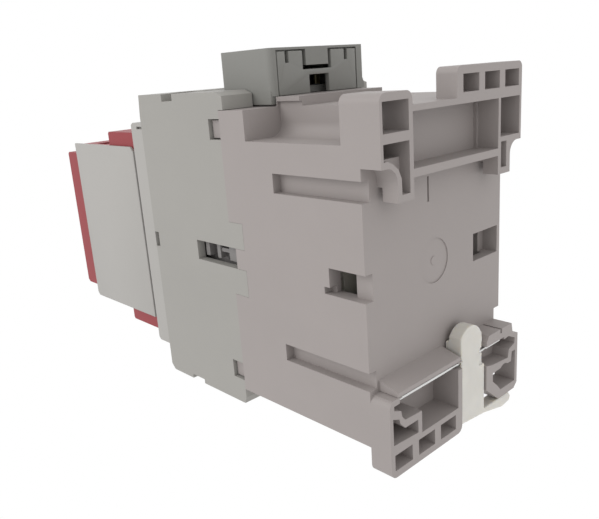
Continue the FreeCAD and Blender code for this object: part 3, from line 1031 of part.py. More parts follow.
# ---------------------------------------------------------------- coil module
def module():
    body = block("module_body", ("-module_half", "module_half"), ("-module_front", "-module_back"),
                 ("module_low", "module_top"))
    body_round = rounded("module_round", body, "corner_round - 0.3", "z", [
        ("module_half", "-module_back"), ("module_half", "-module_front"), ("-module_half", "-module_front")])
    skirts = [block(f"module_skirt_{side}", span, ("-skirt_front", "-module_back - 0.4"),
                    ("skirt_low", "module_low + 1"))
              for side, span in (("near", ("seat_half + fit", "module_half")),
                                 ("far", ("-module_half", "-seat_half - fit")))]
    spigot = block("module_spigot", ("-seat_half + 0.5", "seat_half - 0.5"),
                   ("-module_front + 0.4", "-seam - play"), ("skirt_low - 0.2", "module_low + 1"))
    key = prism("module_key", "xz", [("-module_half + 1", "module_low"), ("-module_half - 0.6", "module_low"),
                                     ("-module_half - 0.6", "module_low + 1"),
                                     ("-module_half", "module_low + 2.3"),
                                     ("-module_half + 1", "module_low + 2.3")],
                                     ("-module_back - 5", "-module_back"))
    room = block("module_room", ("module_wall - module_half", "module_half - module_wall"),
                 ("module_wall - module_front", "-module_back - lid_thick - 0.8"),
                 ("module_low + module_wall", "module_top - module_wall"))
    lid_seat = block("module_lid_seat", ("-lid_half - lid_gap", "lid_half + lid_gap"),
                     ("-module_back - lid_thick", "over - module_back"),
                     ("module_low - over", "lid_top + lid_gap"))
    mouth = block("module_mouth", ("1.2 - lid_half", "lid_half - 1.2"),
                  ("-module_back - 4", "over - module_back"), ("module_low - over", "lid_top - 1.2"))
    slots = [block(f"pin_slot_{place}", (f"{sign}(coil_blade_in + coil_blade_out) / 2 - 0.9",
                                         f"{sign}(coil_blade_in + coil_blade_out) / 2 + 0.9"),
                   ("-blade_front - fit", "2 * blade - blade_front + fit"),
                   ("skirt_low - 1", "module_low + module_wall + over"))
             for place, sign in ((1, ""), (2, "-"))]
    tongue = block("module_tongue", ("-tongue_right", "tongue_left"),
                   ("-module_back - lid_thick - 0.6", "-module_back"), ("tongue_low", "lid_top + 0.6"))
    shell = carved("module_shell", fused("module_solid", [body_round, key, spigot] + skirts),
                   [room, lid_seat, mouth] + slots)
    node("module_housing", fused("module_housing", [shell, tongue]))
    plate = block("lid_plate", ("-lid_half", "lid_half"), ("-module_back - lid_thick", "-module_back"),
                  ("module_low", "lid_top"))
    notch = block("lid_notch", ("-tongue_right - tongue_gap", "tongue_left + tongue_gap"),
                  ("-module_back - 3", "over - module_back"),
                  ("tongue_low - tongue_gap + 0.1", "lid_top + over"))
    hole = block("lid_hole", ("-lid_hole_half", "lid_hole_half"),
                 ("-module_back - 3", "over - module_back"), ("module_low - over", "lid_hole_top"))
    slits = [block(f"lid_slit_{side}", span, ("-module_back - 3", "over - module_back"),
                   ("lid_slit_low", "lid_top + over"))
             for side, span in (("near", ("lid_slit_in + 0.5", "lid_slit_in + lid_slit_wide + 0.5")),
                                ("far", ("-lid_slit_in - lid_slit_wide", "-lid_slit_in")))]
    node("module_lid", carved("module_lid", plate, [notch, hole] + slits))
    for place, sign in ((1, ""), (2, "-")):
        middle = f"{sign}(coil_blade_in + coil_blade_out) / 2"
        node(f"module_pin_{place}", block(f"module_pin_{place}", (f"{middle} - 0.8", f"{middle} + 0.8"),
                                          ("blade - blade_front", "2 * blade - blade_front"),
                                          ("pin_low", "pin_top")))
    disc = rod("varistor_disc", "y", ("0", "-blade_front + 2 * blade - varistor_thick / 2",
                                      "(module_low + module_top) / 2"),
               "varistor_radius", "varistor_thick")
    leads = [rod(f"varistor_lead_{place}", "x", (start, "-blade_front + 1.5 * blade", "pin_top - 0.5"),
                 "lead_radius",
                 "(coil_blade_in + coil_blade_out) / 2 - 0.8 - varistor_radius + 1")
             for place, start in ((1, "varistor_radius - 1"),
                                  (2, "0.8 - (coil_blade_in + coil_blade_out) / 2"))]
    node("module_varistor", fused("module_varistor", [disc] + leads))


# ---------------------------------------------------------------- rail latch
def latch():
    middle = "-latch_middle"
    half = "latch_wide / 2"
    dome = rod("latch_dome", "y", (middle, "-back_face + rail_room", "-latch_tip - latch_wide / 2"), half,
               "back_face - rail_room - latch_front")
    neck = block("latch_neck", (f"{middle} - {half} + 1", f"{middle} + {half} - 0.4"),
                 ("-back_face + rail_room", "-latch_front"),
                 ("-clip_top - 7", "-latch_tip - latch_wide / 2"))
    plate = block("latch_plate_block", ("play - clip_inner", "-web_end - play"),
                  ("-latch_back", "latch_thin - latch_back"),
                  ("-latch_bottom", "-rail_high / 2 - play"))
    lower = block("latch_lower", ("play - clip_inner", "-web_end - play"), ("-latch_back", "-latch_front"),
                  ("-latch_bottom", "-clip_top - 6"))
    finger = prism("latch_finger", "xz", [
        ("-web_end - 1", "-latch_bottom + 0.6"), ("-web_end - 1", "-latch_bottom"),
        ("-clip_inner", "-latch_bottom - 0.9"),
        ("5 - half_wide", "-tab_low"), ("-tab_reach + 0.5", "-tab_low + 0.4"),
        ("-tab_reach", "-tab_low + 1.4"),
        ("-tab_reach + 0.9", "-clip_bottom - 0.4"), ("-clip_inner", "-clip_bottom - 0.4")],
        ("-latch_back + 1", "-latch_front"))
    hole = block("wire_hole", ("-clip_inner - over", "over - web_end"),
                 ("-wire_deep - wire_radius - fit", "wire_radius + fit - wire_deep"),
                 ("-wire_low - wire_radius - fit", "wire_radius + fit - wire_low"))
    trim = block("latch_trim", ("-web_end - play", "over - web_end"), ("-back_face - over", "over"),
                 ("-latch_bottom - over", "over - latch_tip"))
    node("latch_slider", carved("latch_slider", fused("latch_solid", [dome, neck, plate, lower, finger]),
                                [hole, trim]))
    node("latch_spring", rod("latch_spring", "x", ("-wire_end", "-wire_deep", "-wire_low"), "wire_radius",
                             "wire_start + wire_end"))


rear_housing()
front_casing()
front_frame()
magnet()
coil()
main_terminals()
carrier()
bridges()
aux_housing()
aux_covers()
aux_contacts()
aux_moving()
module()
latch()
doc.recompute()

faults = [item.Name for item in doc.Objects if "Invalid" in item.State or "Error" in item.State]
if faults:
    raise RuntimeError(f"these objects failed: {faults}")
for label, piece in parts.items():
    shape = piece.Shape
    if shape.isNull() or not shape.isValid() or not shape.Solids:
        raise RuntimeError(f"{label} has no valid solid")
os.makedirs("parts", exist_ok=True)
for label, piece in parts.items():
    piece.Shape.exportStep(os.path.join("parts", label + ".step"))
    print(f"{label}: {len(piece.Shape.Solids)} solid(s), {piece.Shape.Volume / 1000:.2f} cm3")
print(len(parts), "sub-parts")
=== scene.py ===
"""Looks for the rail contactor: camera, finishes, nylon latch, wire springs, screws and studio."""
import json
import math

import bmesh
import bpy
from mathutils import Matrix, Vector

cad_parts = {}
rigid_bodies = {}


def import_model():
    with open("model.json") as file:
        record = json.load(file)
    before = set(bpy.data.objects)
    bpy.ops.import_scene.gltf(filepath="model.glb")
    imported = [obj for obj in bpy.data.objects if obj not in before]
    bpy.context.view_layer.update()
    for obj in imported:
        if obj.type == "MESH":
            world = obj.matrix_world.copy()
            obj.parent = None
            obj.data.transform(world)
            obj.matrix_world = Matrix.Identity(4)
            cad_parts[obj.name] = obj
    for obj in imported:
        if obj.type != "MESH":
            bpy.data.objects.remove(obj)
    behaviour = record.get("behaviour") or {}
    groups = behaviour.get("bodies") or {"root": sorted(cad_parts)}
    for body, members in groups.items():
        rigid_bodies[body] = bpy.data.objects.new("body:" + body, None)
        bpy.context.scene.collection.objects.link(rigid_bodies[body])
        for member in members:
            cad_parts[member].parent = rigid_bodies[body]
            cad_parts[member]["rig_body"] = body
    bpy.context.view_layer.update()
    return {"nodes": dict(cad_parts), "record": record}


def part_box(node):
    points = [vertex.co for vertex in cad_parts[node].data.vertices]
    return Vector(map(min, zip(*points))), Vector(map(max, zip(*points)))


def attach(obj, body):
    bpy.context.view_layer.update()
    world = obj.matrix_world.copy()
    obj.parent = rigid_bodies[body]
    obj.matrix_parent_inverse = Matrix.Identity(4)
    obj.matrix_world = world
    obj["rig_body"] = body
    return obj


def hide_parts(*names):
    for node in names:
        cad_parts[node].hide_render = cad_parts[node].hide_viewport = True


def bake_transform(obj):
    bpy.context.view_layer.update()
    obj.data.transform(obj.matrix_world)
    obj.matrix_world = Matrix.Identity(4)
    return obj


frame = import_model()
NODES = frame["nodes"]
MM = 0.001
UP = Vector((0, 0, 1))


# ---------------------------------------------------------------- camera
CAMERA_AZIMUTH = math.radians(137.655)
CAMERA_ELEVATION = math.radians(15.944)
CAMERA_ROLL = math.radians(-4.104)
CAMERA_PLACE = Vector((106.577, 70.792, 38.597)) * MM
CAMERA_LENS = 40.0
SENSOR_WIDE = 36.0
NEAREST_SEEN = 5 * MM


def set_camera():
    """The camera stands behind the near side of the contactor, a little above it and slightly rolled."""
    flat = math.cos(CAMERA_ELEVATION)
    back = Vector((math.sin(CAMERA_AZIMUTH) * flat, -math.cos(CAMERA_AZIMUTH) * flat,
                   math.sin(CAMERA_ELEVATION)))
    level = UP.cross(back).normalized()
    upright = back.cross(level)
    right = level * math.cos(CAMERA_ROLL) + upright * math.sin(CAMERA_ROLL)
    top = upright * math.cos(CAMERA_ROLL) - level * math.sin(CAMERA_ROLL)
    data = bpy.data.cameras.new("camera")
    data.lens = CAMERA_LENS
    data.sensor_width = SENSOR_WIDE
    data.clip_start = NEAREST_SEEN
    camera = bpy.data.objects.new("camera", data)
    bpy.context.scene.collection.objects.link(camera)
    turn = Matrix((right, top, back)).transposed().to_4x4()
    camera.matrix_world = Matrix.Translation(CAMERA_PLACE) @ turn
    bpy.context.scene.camera = camera


# ---------------------------------------------------------------- materials
class Socket:
    """An output of a shader node that can be added, taken away and multiplied."""

    def __init__(self, finish, socket):
        self.finish = finish
        self.socket = socket

    def joined(self, operation, left, right):
        return self.finish.node("ShaderNodeMath", {"operation": operation}, (left, right))

    def __add__(self, other):
        return self.joined("ADD", self, other)

    def __sub__(self, other):
        return self.joined("SUBTRACT", self, other)

    def __rsub__(self, other):
        return self.joined("SUBTRACT", other, self)

    def __mul__(self, other):
        return self.joined("MULTIPLY", self, other)

    __radd__ = __add__
    __rmul__ = __mul__


class Finish:
    """One material; node() adds a node with its settings and inputs and gives the output asked for."""

    def __init__(self, name):
        self.material = bpy.data.materials.new(name)
        self.material.use_nodes = True
        self.tree = self.material.node_tree
        self.tree.nodes.clear()
        self.place = self.node("ShaderNodeTexCoord", output="Object")

    def node(self, kind, settings=None, inputs=(), output=0):
        made = self.tree.nodes.new(kind)
        for name, value in (settings or {}).items():
            if name == "stops":
                self.set_stops(made.color_ramp, value)
            else:
                setattr(made, name, value)
        pairs = inputs.items() if isinstance(inputs, dict) else enumerate(inputs)
        for name, value in pairs:
            if isinstance(value, Socket):
                self.tree.links.new(value.socket, made.inputs[name])
            else:
                made.inputs[name].default_value = value
        return None if output is None else Socket(self, made.outputs[output])

    def set_stops(self, ramp, stops):
        while len(ramp.elements) < len(stops):
            ramp.elements.new(0.5)
        for element, (position, shade) in zip(ramp.elements, stops):
            element.position = position
            element.color = (shade, shade, shade, 1)

    def noise(self, scale, detail=2.0, stretch=None):
        place = self.place
        if stretch:
            place = self.node("ShaderNodeMapping", {}, {"Vector": place, "Scale": stretch})
        return self.node("ShaderNodeTexNoise", {}, {"Vector": place, "Scale": scale, "Detail": detail}, "Fac")

    def ramp(self, factor, stops):
        return self.node("ShaderNodeValToRGB", {"stops": stops}, (factor,))

    def mix(self, factor, first, second):
        """A colour between two others; colours are given as three numbers or as links."""
        inputs = {0: factor, 6: colour(first), 7: colour(second)}
        return self.node("ShaderNodeMix", {"data_type": "RGBA"}, inputs, 2)

    def bump(self, height, distance, under=None):
        inputs = {"Height": height, "Distance": distance, "Strength": 1.0}
        if under:
            inputs["Normal"] = under
        return self.node("ShaderNodeBump", {}, inputs)

    def surface(self, base, roughness, normal=None, **numbers):
        inputs = {"Base Color": colour(base), "Roughness": roughness}
        if normal:
            inputs["Normal"] = normal
        for name, value in numbers.items():
            inputs[name.replace("_", " ").title().replace("Ior", "IOR")] = value
        shader = self.node("ShaderNodeBsdfPrincipled", {}, inputs)
        self.node("ShaderNodeOutputMaterial", {}, {"Surface": shader}, None)
        return self.material


def colour(value):
    return value if isinstance(value, Socket) else (*value, 1.0)


def darker(shade, factor):
    return tuple(part * factor for part in shade)


def moulded(name, shade, gloss=0.52, grain=0.012, mottle=0.10):
    """Spark-eroded polyamide: a fine grain, faint clouding along the flow and slightly polished patches."""
    finish = Finish(name)
    grains = finish.noise(2300, 2.0)
    clouds = finish.noise(46, 3.0, (1.0, 0.45, 1.0))
    patches = finish.noise(150, 4.0)
    scuffs = finish.ramp(finish.noise(95, 5.0, (1.0, 0.35, 1.6)), [(0.60, 0.0), (0.74, 1.0)])
    tone = clouds * 0.6 + patches * 0.25 + grains * 0.15
    base = finish.mix(tone, darker(shade, 1 - mottle), darker(shade, 1 + mottle))
    roughness = (clouds - 0.5) * 0.14 + (patches - 0.5) * 0.10 + scuffs * 0.06 + gloss
    normal = finish.bump(grains, grain * MM, finish.bump(patches, 0.03 * MM))
    return finish.surface(base, roughness, normal, specular_ior_level=0.38)


def nylon(name):
    """Natural nylon: milky, a little see-through, smoother than the housing."""
    finish = Finish(name)
    clouds = finish.noise(160, 3.0)
    ripples = finish.noise(620, 2.0)
    base = finish.mix(clouds, (0.56, 0.54, 0.50), (0.70, 0.68, 0.63))
    normal = finish.bump(ripples, 0.02 * MM, finish.bump(clouds, 0.08 * MM))
    return finish.surface(base, clouds * 0.15 + 0.27, normal, subsurface_weight=0.55,
                          subsurface_radius=(1.0, 0.9, 0.7), subsurface_scale=1.2 * MM,
                          transmission_weight=0.10, ior=1.53)


def metal(name, shade, gloss=0.28, streak=(1, 1, 1), streaks=700, depth=0.004):
    """Bare or plated metal with drawing marks along one direction and slight tarnish."""
    finish = Finish(name)
    drawn = finish.noise(streaks, 3.0, streak)
    tarnish = finish.noise(130, 3.0)
    base = finish.mix(tarnish, darker(shade, 0.82), shade)
    roughness = drawn * 0.16 + tarnish * 0.12 + (gloss - 0.12)
    return finish.surface(base, roughness, finish.bump(drawn, depth * MM), metallic=1.0)


def laminated(name, shade, direction):
    """Sheet steel seen edge on: fine lines across the stack."""
    finish = Finish(name)
    lines = finish.node("ShaderNodeTexWave", {"wave_type": "BANDS", "bands_direction": direction},
                        {"Vector": finish.place, "Scale": 310.0, "Distortion": 0.25, "Detail": 1.0}, "Fac")
    tarnish = finish.noise(180, 4.0)
    base = finish.mix(tarnish, darker(shade, 0.6), shade)
    return finish.surface(base, tarnish * 0.2 + 0.33, finish.bump(lines, 0.05 * MM), metallic=0.9)


def wound(name, shade):
    """Enamelled wire laid side by side round the bobbin."""
    finish = Finish(name)
    turns = finish.node("ShaderNodeTexWave", {"wave_type": "BANDS", "bands_direction": "Y"},
                        {"Vector": finish.place, "Scale": 800.0, "Distortion": 0.6, "Detail": 1.0}, "Fac")
    base = finish.mix(turns, darker(shade, 0.55), shade)
    return finish.surface(base, turns * 0.1 + 0.25, finish.bump(turns, 0.09 * MM), coat_weight=0.5)


HOUSING_GREY = (0.300, 0.270, 0.260)
MATERIALS = {
    "housing": moulded("housing_polyamide", HOUSING_GREY),
    "casing": moulded("casing_polyamide", (0.300, 0.290, 0.270)),
    "side_cover": moulded("cover_polyamide", (0.350, 0.338, 0.320), gloss=0.48),
    "module": moulded("module_plastic", (0.215, 0.213, 0.198), gloss=0.46, mottle=0.14),
    "red_housing": moulded("red_plastic", (0.25, 0.024, 0.030), gloss=0.44, mottle=0.12),
    "carrier_plastic": moulded("carrier_plastic", (0.200, 0.190, 0.185), gloss=0.45),
    "bobbin_plastic": moulded("bobbin_plastic", (0.66, 0.63, 0.55), gloss=0.42),
    "latch_nylon": nylon("latch_nylon"),
    "spring_steel": metal("spring_steel", (0.74, 0.74, 0.73), 0.24),
    "screw_steel": metal("zinc_plated_steel", (0.70, 0.69, 0.63), 0.33),
    "magnet_steel": laminated("sheet_steel", (0.42, 0.42, 0.43), "X"),
    "copper": metal("bare_copper", (0.80, 0.45, 0.30), 0.30, (1, 1, 0.12)),
    "contact_brass": metal("plated_brass", (0.80, 0.68, 0.40), 0.30, (1, 1, 0.12)),
    "silver_alloy": metal("silver_alloy", (0.86, 0.85, 0.82), 0.22),
    "enamelled_wire": wound("enamelled_wire", (0.50, 0.17, 0.06)),
    "pad_rubber": moulded("pad_rubber", (0.020, 0.020, 0.021), gloss=0.75, grain=0.02),
    "varistor_blue": moulded("varistor_epoxy", (0.03, 0.11, 0.34), gloss=0.25),
}
SLOT_OF = {part["node"]: part["material_slot"] for part in frame["record"]["subparts"]}


# ---------------------------------------------------------------- mesh helpers
WELD_REACH = 2e-6
FLAT_TURN = math.radians(0.8)
SHARP_TURN = math.radians(40)
FOLDED_SHARE = 0.002
SMALLEST_AREA = 1e-10
EDGE_SHARES = (1.0, 0.6, 0.35)
SHELL_SHADING = 32
WIRE_SHADING = 50
SCREW_SHADING = 35


def placed(name, mesh, node, rides=True):
    """Links a finished mesh, gives it the node's slot and finish, and hides the node it stands for."""
    piece = bpy.data.objects.new(name, mesh)
    bpy.context.scene.collection.objects.link(piece)
    slot = SLOT_OF[node]
    mesh.materials.clear()
    mesh.materials.append(MATERIALS[slot])
    if rides:
        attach(piece, NODES[node]["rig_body"])
    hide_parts(node)
    return piece


def welded(node):
    """A node's mesh as an editable shape, with its loose triangles joined."""
    shape = bmesh.new()
    shape.from_mesh(NODES[node].data)
    bmesh.ops.remove_doubles(shape, verts=shape.verts, dist=WELD_REACH)
    return shape


def as_mesh(name, shape):
    """Turns an editable shape into a mesh and lets the shape go."""
    mesh = bpy.data.meshes.new(name)
    shape.to_mesh(mesh)
    shape.free()
    return mesh


def shaded(mesh, sharp_degrees):
    """Smooth shading that stops at edges sharper than this many degrees."""
    mesh.shade_smooth()
    mesh.set_sharp_from_angle(angle=math.radians(sharp_degrees))
    return mesh


def merged(node):
    """A copy of a node's mesh whose flat faces are whole."""
    shape = welded(node)
    bmesh.ops.dissolve_limit(shape, angle_limit=FLAT_TURN, verts=shape.verts, edges=shape.edges)
    return as_mesh(node + "_merged", shape)


def evaluated(piece):
    """The mesh of an object after its modifiers."""
    bpy.context.view_layer.update()
    graph = bpy.context.evaluated_depsgraph_get()
    return bpy.data.meshes.new_from_object(piece.evaluated_get(graph))


def modified(mesh, modifiers):
    """Runs a list of (kind, settings) modifiers over a mesh and returns the result."""
    piece = bpy.data.objects.new("work", mesh)
    bpy.context.scene.collection.objects.link(piece)
    for kind, settings in modifiers:
        modifier = piece.modifiers.new(kind.lower(), kind)
        for name, value in settings.items():
            setattr(modifier, name, value)
    result = evaluated(piece)
    bpy.data.objects.remove(piece)
    return result


def folds(shape):
    """True where a face lies over itself, judged from the areas of its triangles."""
    flat, full = {}, {}
    for triangle in shape.calc_loop_triangles():
        first, second, third = (corner.vert.co for corner in triangle)
        face = triangle[0].face
        cross = (second - first).cross(third - first)
        flat[face] = flat.get(face, 0.0) + cross.dot(face.normal)
        full[face] = full.get(face, 0.0) + cross.length
    return any(full[face] - flat[face] > FOLDED_SHARE * full[face] + SMALLEST_AREA for face in full)


def softened(node, width):
    """A node's own shape, its edges rounded by the largest of three widths that leaves no folded face."""
    for share in EDGE_SHARES:
        shape = bmesh.new()
        shape.from_mesh(merged(node))
        sharp = [edge for edge in shape.edges
                 if len(edge.link_faces) == 2 and edge.calc_face_angle() > SHARP_TURN]
        bmesh.ops.bevel(shape, geom=sharp, offset=width * share * MM, segments=2, profile=0.5,
                        affect="EDGES", clamp_overlap=False, miter_outer="ARC", loop_slide=True)
        shape.normal_update()
        if not folds(shape):
            placed(node + "_shell", shaded(as_mesh(node + "_soft", shape), SHELL_SHADING), node)
            return
        shape.free()


# millimetres of rounding on the pieces that have room for it
EDGE_WIDTHS = {
    "aux_side_near": 0.14, "aux_side_far": 0.14, "module_lid": 0.1, "core_buffer": 0.3, "armature_clip": 0.2,
    "coil_terminal_1": 0.1, "coil_terminal_2": 0.1, "module_pin_1": 0.1, "module_pin_2": 0.1,
    "bridge_1": 0.12, "bridge_2": 0.12, "bridge_3": 0.12,
    "bridge_tips": 0.15, "line_tips": 0.15, "load_tips": 0.15,
}


def build_shells():
    for node, width in EDGE_WIDTHS.items():
        softened(node, width)


def build_plain():
    """Every node gets its finish, which shows where no other piece stands for it."""
    for node, piece in NODES.items():
        piece.data.materials.clear()
        piece.data.materials.append(MATERIALS[SLOT_OF[node]])


# ---------------------------------------------------------------- latch and its wire
LATCH_GRAIN = 0.2 * MM
WIRE_STEPS = 40
WIRE_SIDES = 14
END_SWELLS = [0.55, 0.9]


def build_latch():
    """The nylon slider: the moulded part's own shape with full, soft edges."""
    voxels = {"mode": "VOXEL", "voxel_size": LATCH_GRAIN, "use_smooth_shade": True}
    smoothing = {"factor": 0.5, "iterations": 6}
    mesh = modified(merged("latch_slider"), [("REMESH", voxels), ("SMOOTH", smoothing)])
    mesh.shade_smooth()
    placed("latch_slider_body", mesh, "latch_slider")


def tube(name, points, radius, sides):
    """A round wire through the points, with closed and slightly rounded ends."""
    ring_turns = [2 * math.pi * side / sides for side in range(sides)]
    shape = bmesh.new()
    rings = []
    normal = None
    swells = END_SWELLS + [1.0] * (len(points) - 2 * len(END_SWELLS)) + END_SWELLS[::-1]
    for place, (point, swell) in enumerate(zip(points, swells)):
        before = points[max(place - 1, 0)]
        after = points[min(place + 1, len(points) - 1)]
        along = (after - before).normalized()
        if normal is None:
            normal = along.orthogonal().normalized()
        normal = (normal - along * normal.dot(along)).normalized()
        across = along.cross(normal)
        rings.append([
            shape.verts.new(point + (normal * math.cos(turn) + across * math.sin(turn)) * radius * swell)
            for turn in ring_turns])
    for low, high in zip(rings, rings[1:]):
        for side in range(sides):
            following = (side + 1) % sides
            shape.faces.new((low[side], low[following], high[following], high[side]))
    shape.faces.new(list(reversed(rings[0])))
    shape.faces.new(rings[-1])
    bmesh.ops.recalc_face_normals(shape, faces=shape.faces)
    return shaded(as_mesh(name, shape), WIRE_SHADING)


def build_latch_wire():
    """The latch spring, a straight wire, as two lengths that meet in the latch."""
    low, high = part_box("latch_spring")
    radius = (high.y - low.y) / 2
    depth = (low.y + high.y) / 2
    level = low.z + radius
    middle = sum(corner.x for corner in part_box("latch_slider")) / 2
    for name, outer in (("latch_wire_near", high.x), ("latch_wire_far", low.x)):
        points = [Vector((outer + (middle - outer) * step / WIRE_STEPS, depth, level))
                  for step in range(WIRE_STEPS + 1)]
        piece = placed(name, tube(name, points, radius, WIRE_SIDES), "latch_spring", rides=False)
        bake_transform(piece)


# ---------------------------------------------------------------- coil springs
DEAD_TURNS = 0.9
DEAD_SHARE = 0.2
STEPS_PER_TURN = 28
COIL_SIDES = 10
AUX_COIL_SIDES = 8
AUX_SPRING_WIRE = 0.25 * MM
AUX_SPRING_TURNS = 4.0
# what the rear and front ends bear on, the wire's radius in millimetres and the turns
SPRINGS = {
    "return_spring_1": ("root", "carrier", 0.45, 5.0),
    "return_spring_2": ("root", "carrier", 0.45, 5.0),
    "contact_spring_1": ("bridges", "carrier", 0.4, 3.5),
    "contact_spring_2": ("bridges", "carrier", 0.4, 3.5),
    "contact_spring_3": ("bridges", "carrier", 0.4, 3.5),
}


def coil_points(x, z, start, end, radius, turns):
    """A helix along Y whose end turns lie close together, as on a spring with closed ends."""
    points = []
    total = turns + 2 * DEAD_TURNS
    count = int(total * STEPS_PER_TURN)
    for step in range(count + 1):
        turn = total * step / count
        open_share = min(max((turn - DEAD_TURNS) / turns, 0.0), 1.0)
        closed = min(turn, DEAD_TURNS) + max(turn - DEAD_TURNS - turns, 0.0)
        climb = open_share * (1 - DEAD_SHARE) + closed / (2 * DEAD_TURNS) * DEAD_SHARE
        angle = 2 * math.pi * turn
        depth = start + (end - start) * climb
        points.append(Vector((x + radius * math.cos(angle), depth, z + radius * math.sin(angle))))
    return points


def build_springs():
    """Round wire springs with closed end turns, each standing in place of its node."""
    for node, (rear, front, wire, turns) in SPRINGS.items():
        low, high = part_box(node)
        wire = wire * MM
        radius = (high.x - low.x) / 2 - wire
        x, z = (low.x + high.x) / 2, (low.z + high.z) / 2
        points = coil_points(x, z, high.y - wire, low.y + wire, radius, turns)
        piece = placed(node + "_coil", tube(node, points, wire, COIL_SIDES), node, rides=False)
        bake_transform(piece)


def islands(node):
    """The lowest and highest corner of each separate solid in a node."""
    shape = welded(node)
    boxes = []
    waiting = set(shape.verts)
    while waiting:
        reached = [waiting.pop()]
        for vert in reached:
            for edge in vert.link_edges:
                other = edge.other_vert(vert)
                if other in waiting:
                    waiting.remove(other)
                    reached.append(other)
        places = [NODES[node].matrix_world @ vert.co for vert in reached]
        boxes.append((Vector([min(place[axis] for place in places) for axis in range(3)]),
                      Vector([max(place[axis] for place in places) for axis in range(3)])))
    shape.free()
    return boxes


def build_aux_springs():
    """The small contact springs, each between its window in the carrier and the bridge that it presses."""
    bridges = [((low.x + high.x) / 2, (low.y + high.y) / 2) for low, high in islands("aux_bridges")]
    for number, (low, high) in enumerate(islands("aux_springs"), start=1):
        x, z = (low.x + high.x) / 2, (low.z + high.z) / 2
        radius = (high.x - low.x) / 2 - AUX_SPRING_WIRE
        bridge = min(bridges, key=lambda place: abs(place[0] - x))[1]
        ends = [low.y + AUX_SPRING_WIRE, high.y - AUX_SPRING_WIRE]
        if abs(ends[0] - bridge) < abs(ends[1] - bridge):
            ends.reverse()
        points = coil_points(x, z, ends[0], ends[1], radius, AUX_SPRING_TURNS)
        mesh = tube(f"aux_spring_{number}", points, AUX_SPRING_WIRE, AUX_COIL_SIDES)
        piece = placed(f"aux_spring_{number}_coil", mesh, "aux_springs", rides=False)
        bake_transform(piece)


# ---------------------------------------------------------------- screws
THREAD_PITCH = 0.7
THREAD_DEPTH = 0.28
ROOT_FLAT = 0.05
NECK = 0.4
POINT = 0.8
POINT_TAPER = 0.5
CROSS_REACH = 0.6
CROSS_HALF = 0.42
CROSS_DEEP = 1.15
CROSS_TAPER = 0.62
CROSS_START = -0.5
ROUND_STEPS = 36
HEAD_CHAMFER = 0.1
# places along the round front edge of a head, and how far the radius there stays short of the full head
HEAD_ROUND = ((0.0, 0.55), (0.06, 0.32), (0.2, 0.12), (0.42, 0.0))
# screws in the row, head radius, head thickness and shank radius in millimetres
SCREW_ROWS = {
    "line_screws": (3, 3.0, 2.2, 1.75), "load_screws": (3, 3.0, 2.2, 1.75),
    "coil_screws": (2, 2.1, 1.6, 1.25),
    "aux_top_screws": (4, 2.5, 1.8, 1.45), "aux_bottom_screws": (4, 2.5, 1.8, 1.45),
}


def screw_outline(head, thick, shank, length):
    """Places along a screw and radii there, from the head's middle to the point, in millimetres."""
    outline = [(0.0, 0.0)] + [(along, head - short) for along, short in HEAD_ROUND]
    outline += [(thick - HEAD_CHAMFER, head), (thick, head - HEAD_CHAMFER), (thick, shank)]
    root = shank - THREAD_DEPTH
    along = thick + NECK
    while along + THREAD_PITCH < length - POINT:
        outline += [(along, root), (along + THREAD_PITCH / 2, shank)]
        outline.append((along + THREAD_PITCH - ROOT_FLAT, root))
        along += THREAD_PITCH
    outline += [(length - POINT_TAPER, root), (length, root - THREAD_DEPTH), (length, 0.0)]
    return outline


def turned(name, outline):
    """A solid of revolution round Y; the outline starts and ends on the axis."""
    shape = bmesh.new()
    first = shape.verts.new((0, outline[0][0] * MM, 0))
    last = shape.verts.new((0, outline[-1][0] * MM, 0))
    rings = []
    turns = [2 * math.pi * step / ROUND_STEPS for step in range(ROUND_STEPS)]
    for along, radius in outline[1:-1]:
        wide = radius * MM
        rings.append([shape.verts.new((wide * math.cos(turn), along * MM, wide * math.sin(turn)))
                      for turn in turns])
    for step in range(ROUND_STEPS):
        following = (step + 1) % ROUND_STEPS
        shape.faces.new((first, rings[0][step], rings[0][following]))
        shape.faces.new((last, rings[-1][following], rings[-1][step]))
        for low, high in zip(rings, rings[1:]):
            shape.faces.new((low[step], high[step], high[following], low[following]))
    bmesh.ops.recalc_face_normals(shape, faces=shape.faces)
    return as_mesh(name, shape)


def cross_cutter(name, reach):
    """A tapering plus-shaped solid that sinks the driver recess into a screw head."""
    half = CROSS_HALF
    corners = [(half, half), (reach, half), (reach, -half), (half, -half), (half, -reach), (-half, -reach),
               (-half, -half), (-reach, -half), (-reach, half), (-half, half), (-half, reach), (half, reach)]
    shape = bmesh.new()
    rings = [[shape.verts.new((x * share * MM, y * MM, z * share * MM)) for x, z in corners]
             for y, share in ((CROSS_START, 1.0), (0.0, 1.0), (CROSS_DEEP, CROSS_TAPER))]
    for low, high in zip(rings, rings[1:]):
        for step in range(len(corners)):
            following = (step + 1) % len(corners)
            shape.faces.new((low[step], high[step], high[following], low[following]))
    shape.faces.new(rings[0])
    shape.faces.new(list(reversed(rings[-1])))
    bmesh.ops.recalc_face_normals(shape, faces=shape.faces)
    return as_mesh(name, shape)


def finished_screw(name, head, thick, shank, length):
    """One screw with ring-shaped threads and a cross recess, its head facing -Y and starting at Y = 0."""
    cutter = bpy.data.objects.new(name + "_cutter", cross_cutter(name + "_cross", head * CROSS_REACH))
    bpy.context.scene.collection.objects.link(cutter)
    cut = {"object": cutter, "operation": "DIFFERENCE", "solver": "EXACT"}
    mesh = modified(turned(name, screw_outline(head, thick, shank, length)), [("BOOLEAN", cut)])
    bpy.data.objects.remove(cutter)
    return shaded(mesh, SCREW_SHADING)


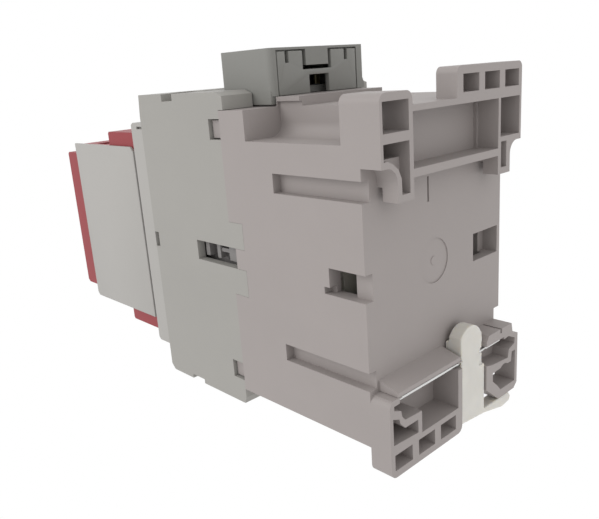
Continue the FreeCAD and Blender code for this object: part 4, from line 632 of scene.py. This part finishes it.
def row_tree():
    """A node tree that puts one piece on each point of a line, makes them real and gives them a material."""
    tree = bpy.data.node_groups.new("row_of_pieces", "GeometryNodeTree")
    sockets = {}
    for name, kind in (("Piece", "NodeSocketObject"), ("Count", "NodeSocketInt"),
                       ("Step", "NodeSocketVector"), ("Start", "NodeSocketVector"),
                       ("Material", "NodeSocketMaterial")):
        sockets[name] = tree.interface.new_socket(name, in_out="INPUT", socket_type=kind).identifier
    tree.interface.new_socket("Geometry", in_out="OUTPUT", socket_type="NodeSocketGeometry")
    given = tree.nodes.new("NodeGroupInput")
    line = tree.nodes.new("GeometryNodeMeshLine")
    line.mode = "OFFSET"
    piece = tree.nodes.new("GeometryNodeObjectInfo")
    instances = tree.nodes.new("GeometryNodeInstanceOnPoints")
    real = tree.nodes.new("GeometryNodeRealizeInstances")
    finish = tree.nodes.new("GeometryNodeSetMaterial")
    result = tree.nodes.new("NodeGroupOutput")
    for source, socket, target, name in (
            (given, "Piece", piece, "Object"), (given, "Count", line, "Count"),
            (given, "Step", line, "Offset"), (given, "Start", line, "Start Location"),
            (line, "Mesh", instances, "Points"),
            (piece, "Geometry", instances, "Instance"), (instances, "Instances", real, "Geometry"),
            (real, "Geometry", finish, "Geometry"), (given, "Material", finish, "Material"),
            (finish, "Geometry", result, "Geometry")):
        tree.links.new(source.outputs[socket], target.inputs[name])
    return tree, sockets


def rowed(tree, sockets, mesh, values):
    """The mesh that the row tree makes with these inputs."""
    source = bpy.data.objects.new("row_source", mesh)
    holder = bpy.data.objects.new("row_holder", bpy.data.meshes.new("row_holder"))
    bpy.context.scene.collection.objects.link(source)
    bpy.context.scene.collection.objects.link(holder)
    modifier = holder.modifiers.new("row", "NODES")
    modifier.node_group = tree
    modifier[sockets["Piece"]] = source
    for name, value in values.items():
        modifier[sockets[name]] = value
    holder.update_tag()
    result = evaluated(holder)
    bpy.data.objects.remove(holder)
    bpy.data.objects.remove(source)
    return result


def build_screws():
    """Clamp screws in their rows, each row one piece that rides the body of the node it stands for."""
    tree, sockets = row_tree()
    for node, (count, head, thick, shank) in SCREW_ROWS.items():
        low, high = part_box(node)
        length = (high.y - low.y) / MM
        first = low.x + head * MM
        step = (high.x - low.x - 2 * head * MM) / (count - 1)
        values = {"Count": count, "Step": (step, 0.0, 0.0), "Start": (first, low.y, (low.z + high.z) / 2),
                  "Material": MATERIALS["screw_steel"]}
        mesh = rowed(tree, sockets, finished_screw(node + "_one", head, thick, shank, length), values)
        placed(node + "_row", mesh, node)


# ---------------------------------------------------------------- studio
AIM = Vector((0, -0.05, 0))
# name, place, size and power
LIGHTS = (
    ("key", (0.60, -0.30, 0.40), 0.40, 1.6),
    ("back", (0.10, 0.60, 0.50), 0.40, 0.3),
)


def build_studio():
    """An even white room, with one soft lamp at the near side and a weaker one behind the contactor."""
    world = bpy.data.worlds.new("studio")
    world.use_nodes = True
    background = world.node_tree.nodes["Background"]
    background.inputs["Color"].default_value = (1, 1, 1, 1)
    background.inputs["Strength"].default_value = 1.0
    bpy.context.scene.world = world
    bpy.context.scene.view_settings.view_transform = "Standard"
    for name, place, size, power in LIGHTS:
        data = bpy.data.lights.new(name, "AREA")
        data.size = size
        data.energy = power
        light = bpy.data.objects.new(name, data)
        light.location = place
        light.rotation_euler = (AIM - Vector(place)).to_track_quat("-Z", "Y").to_euler()
        bpy.context.scene.collection.objects.link(light)


set_camera()
build_plain()
build_shells()
build_latch()
build_latch_wire()
build_springs()
build_aux_springs()
build_screws()
build_studio()
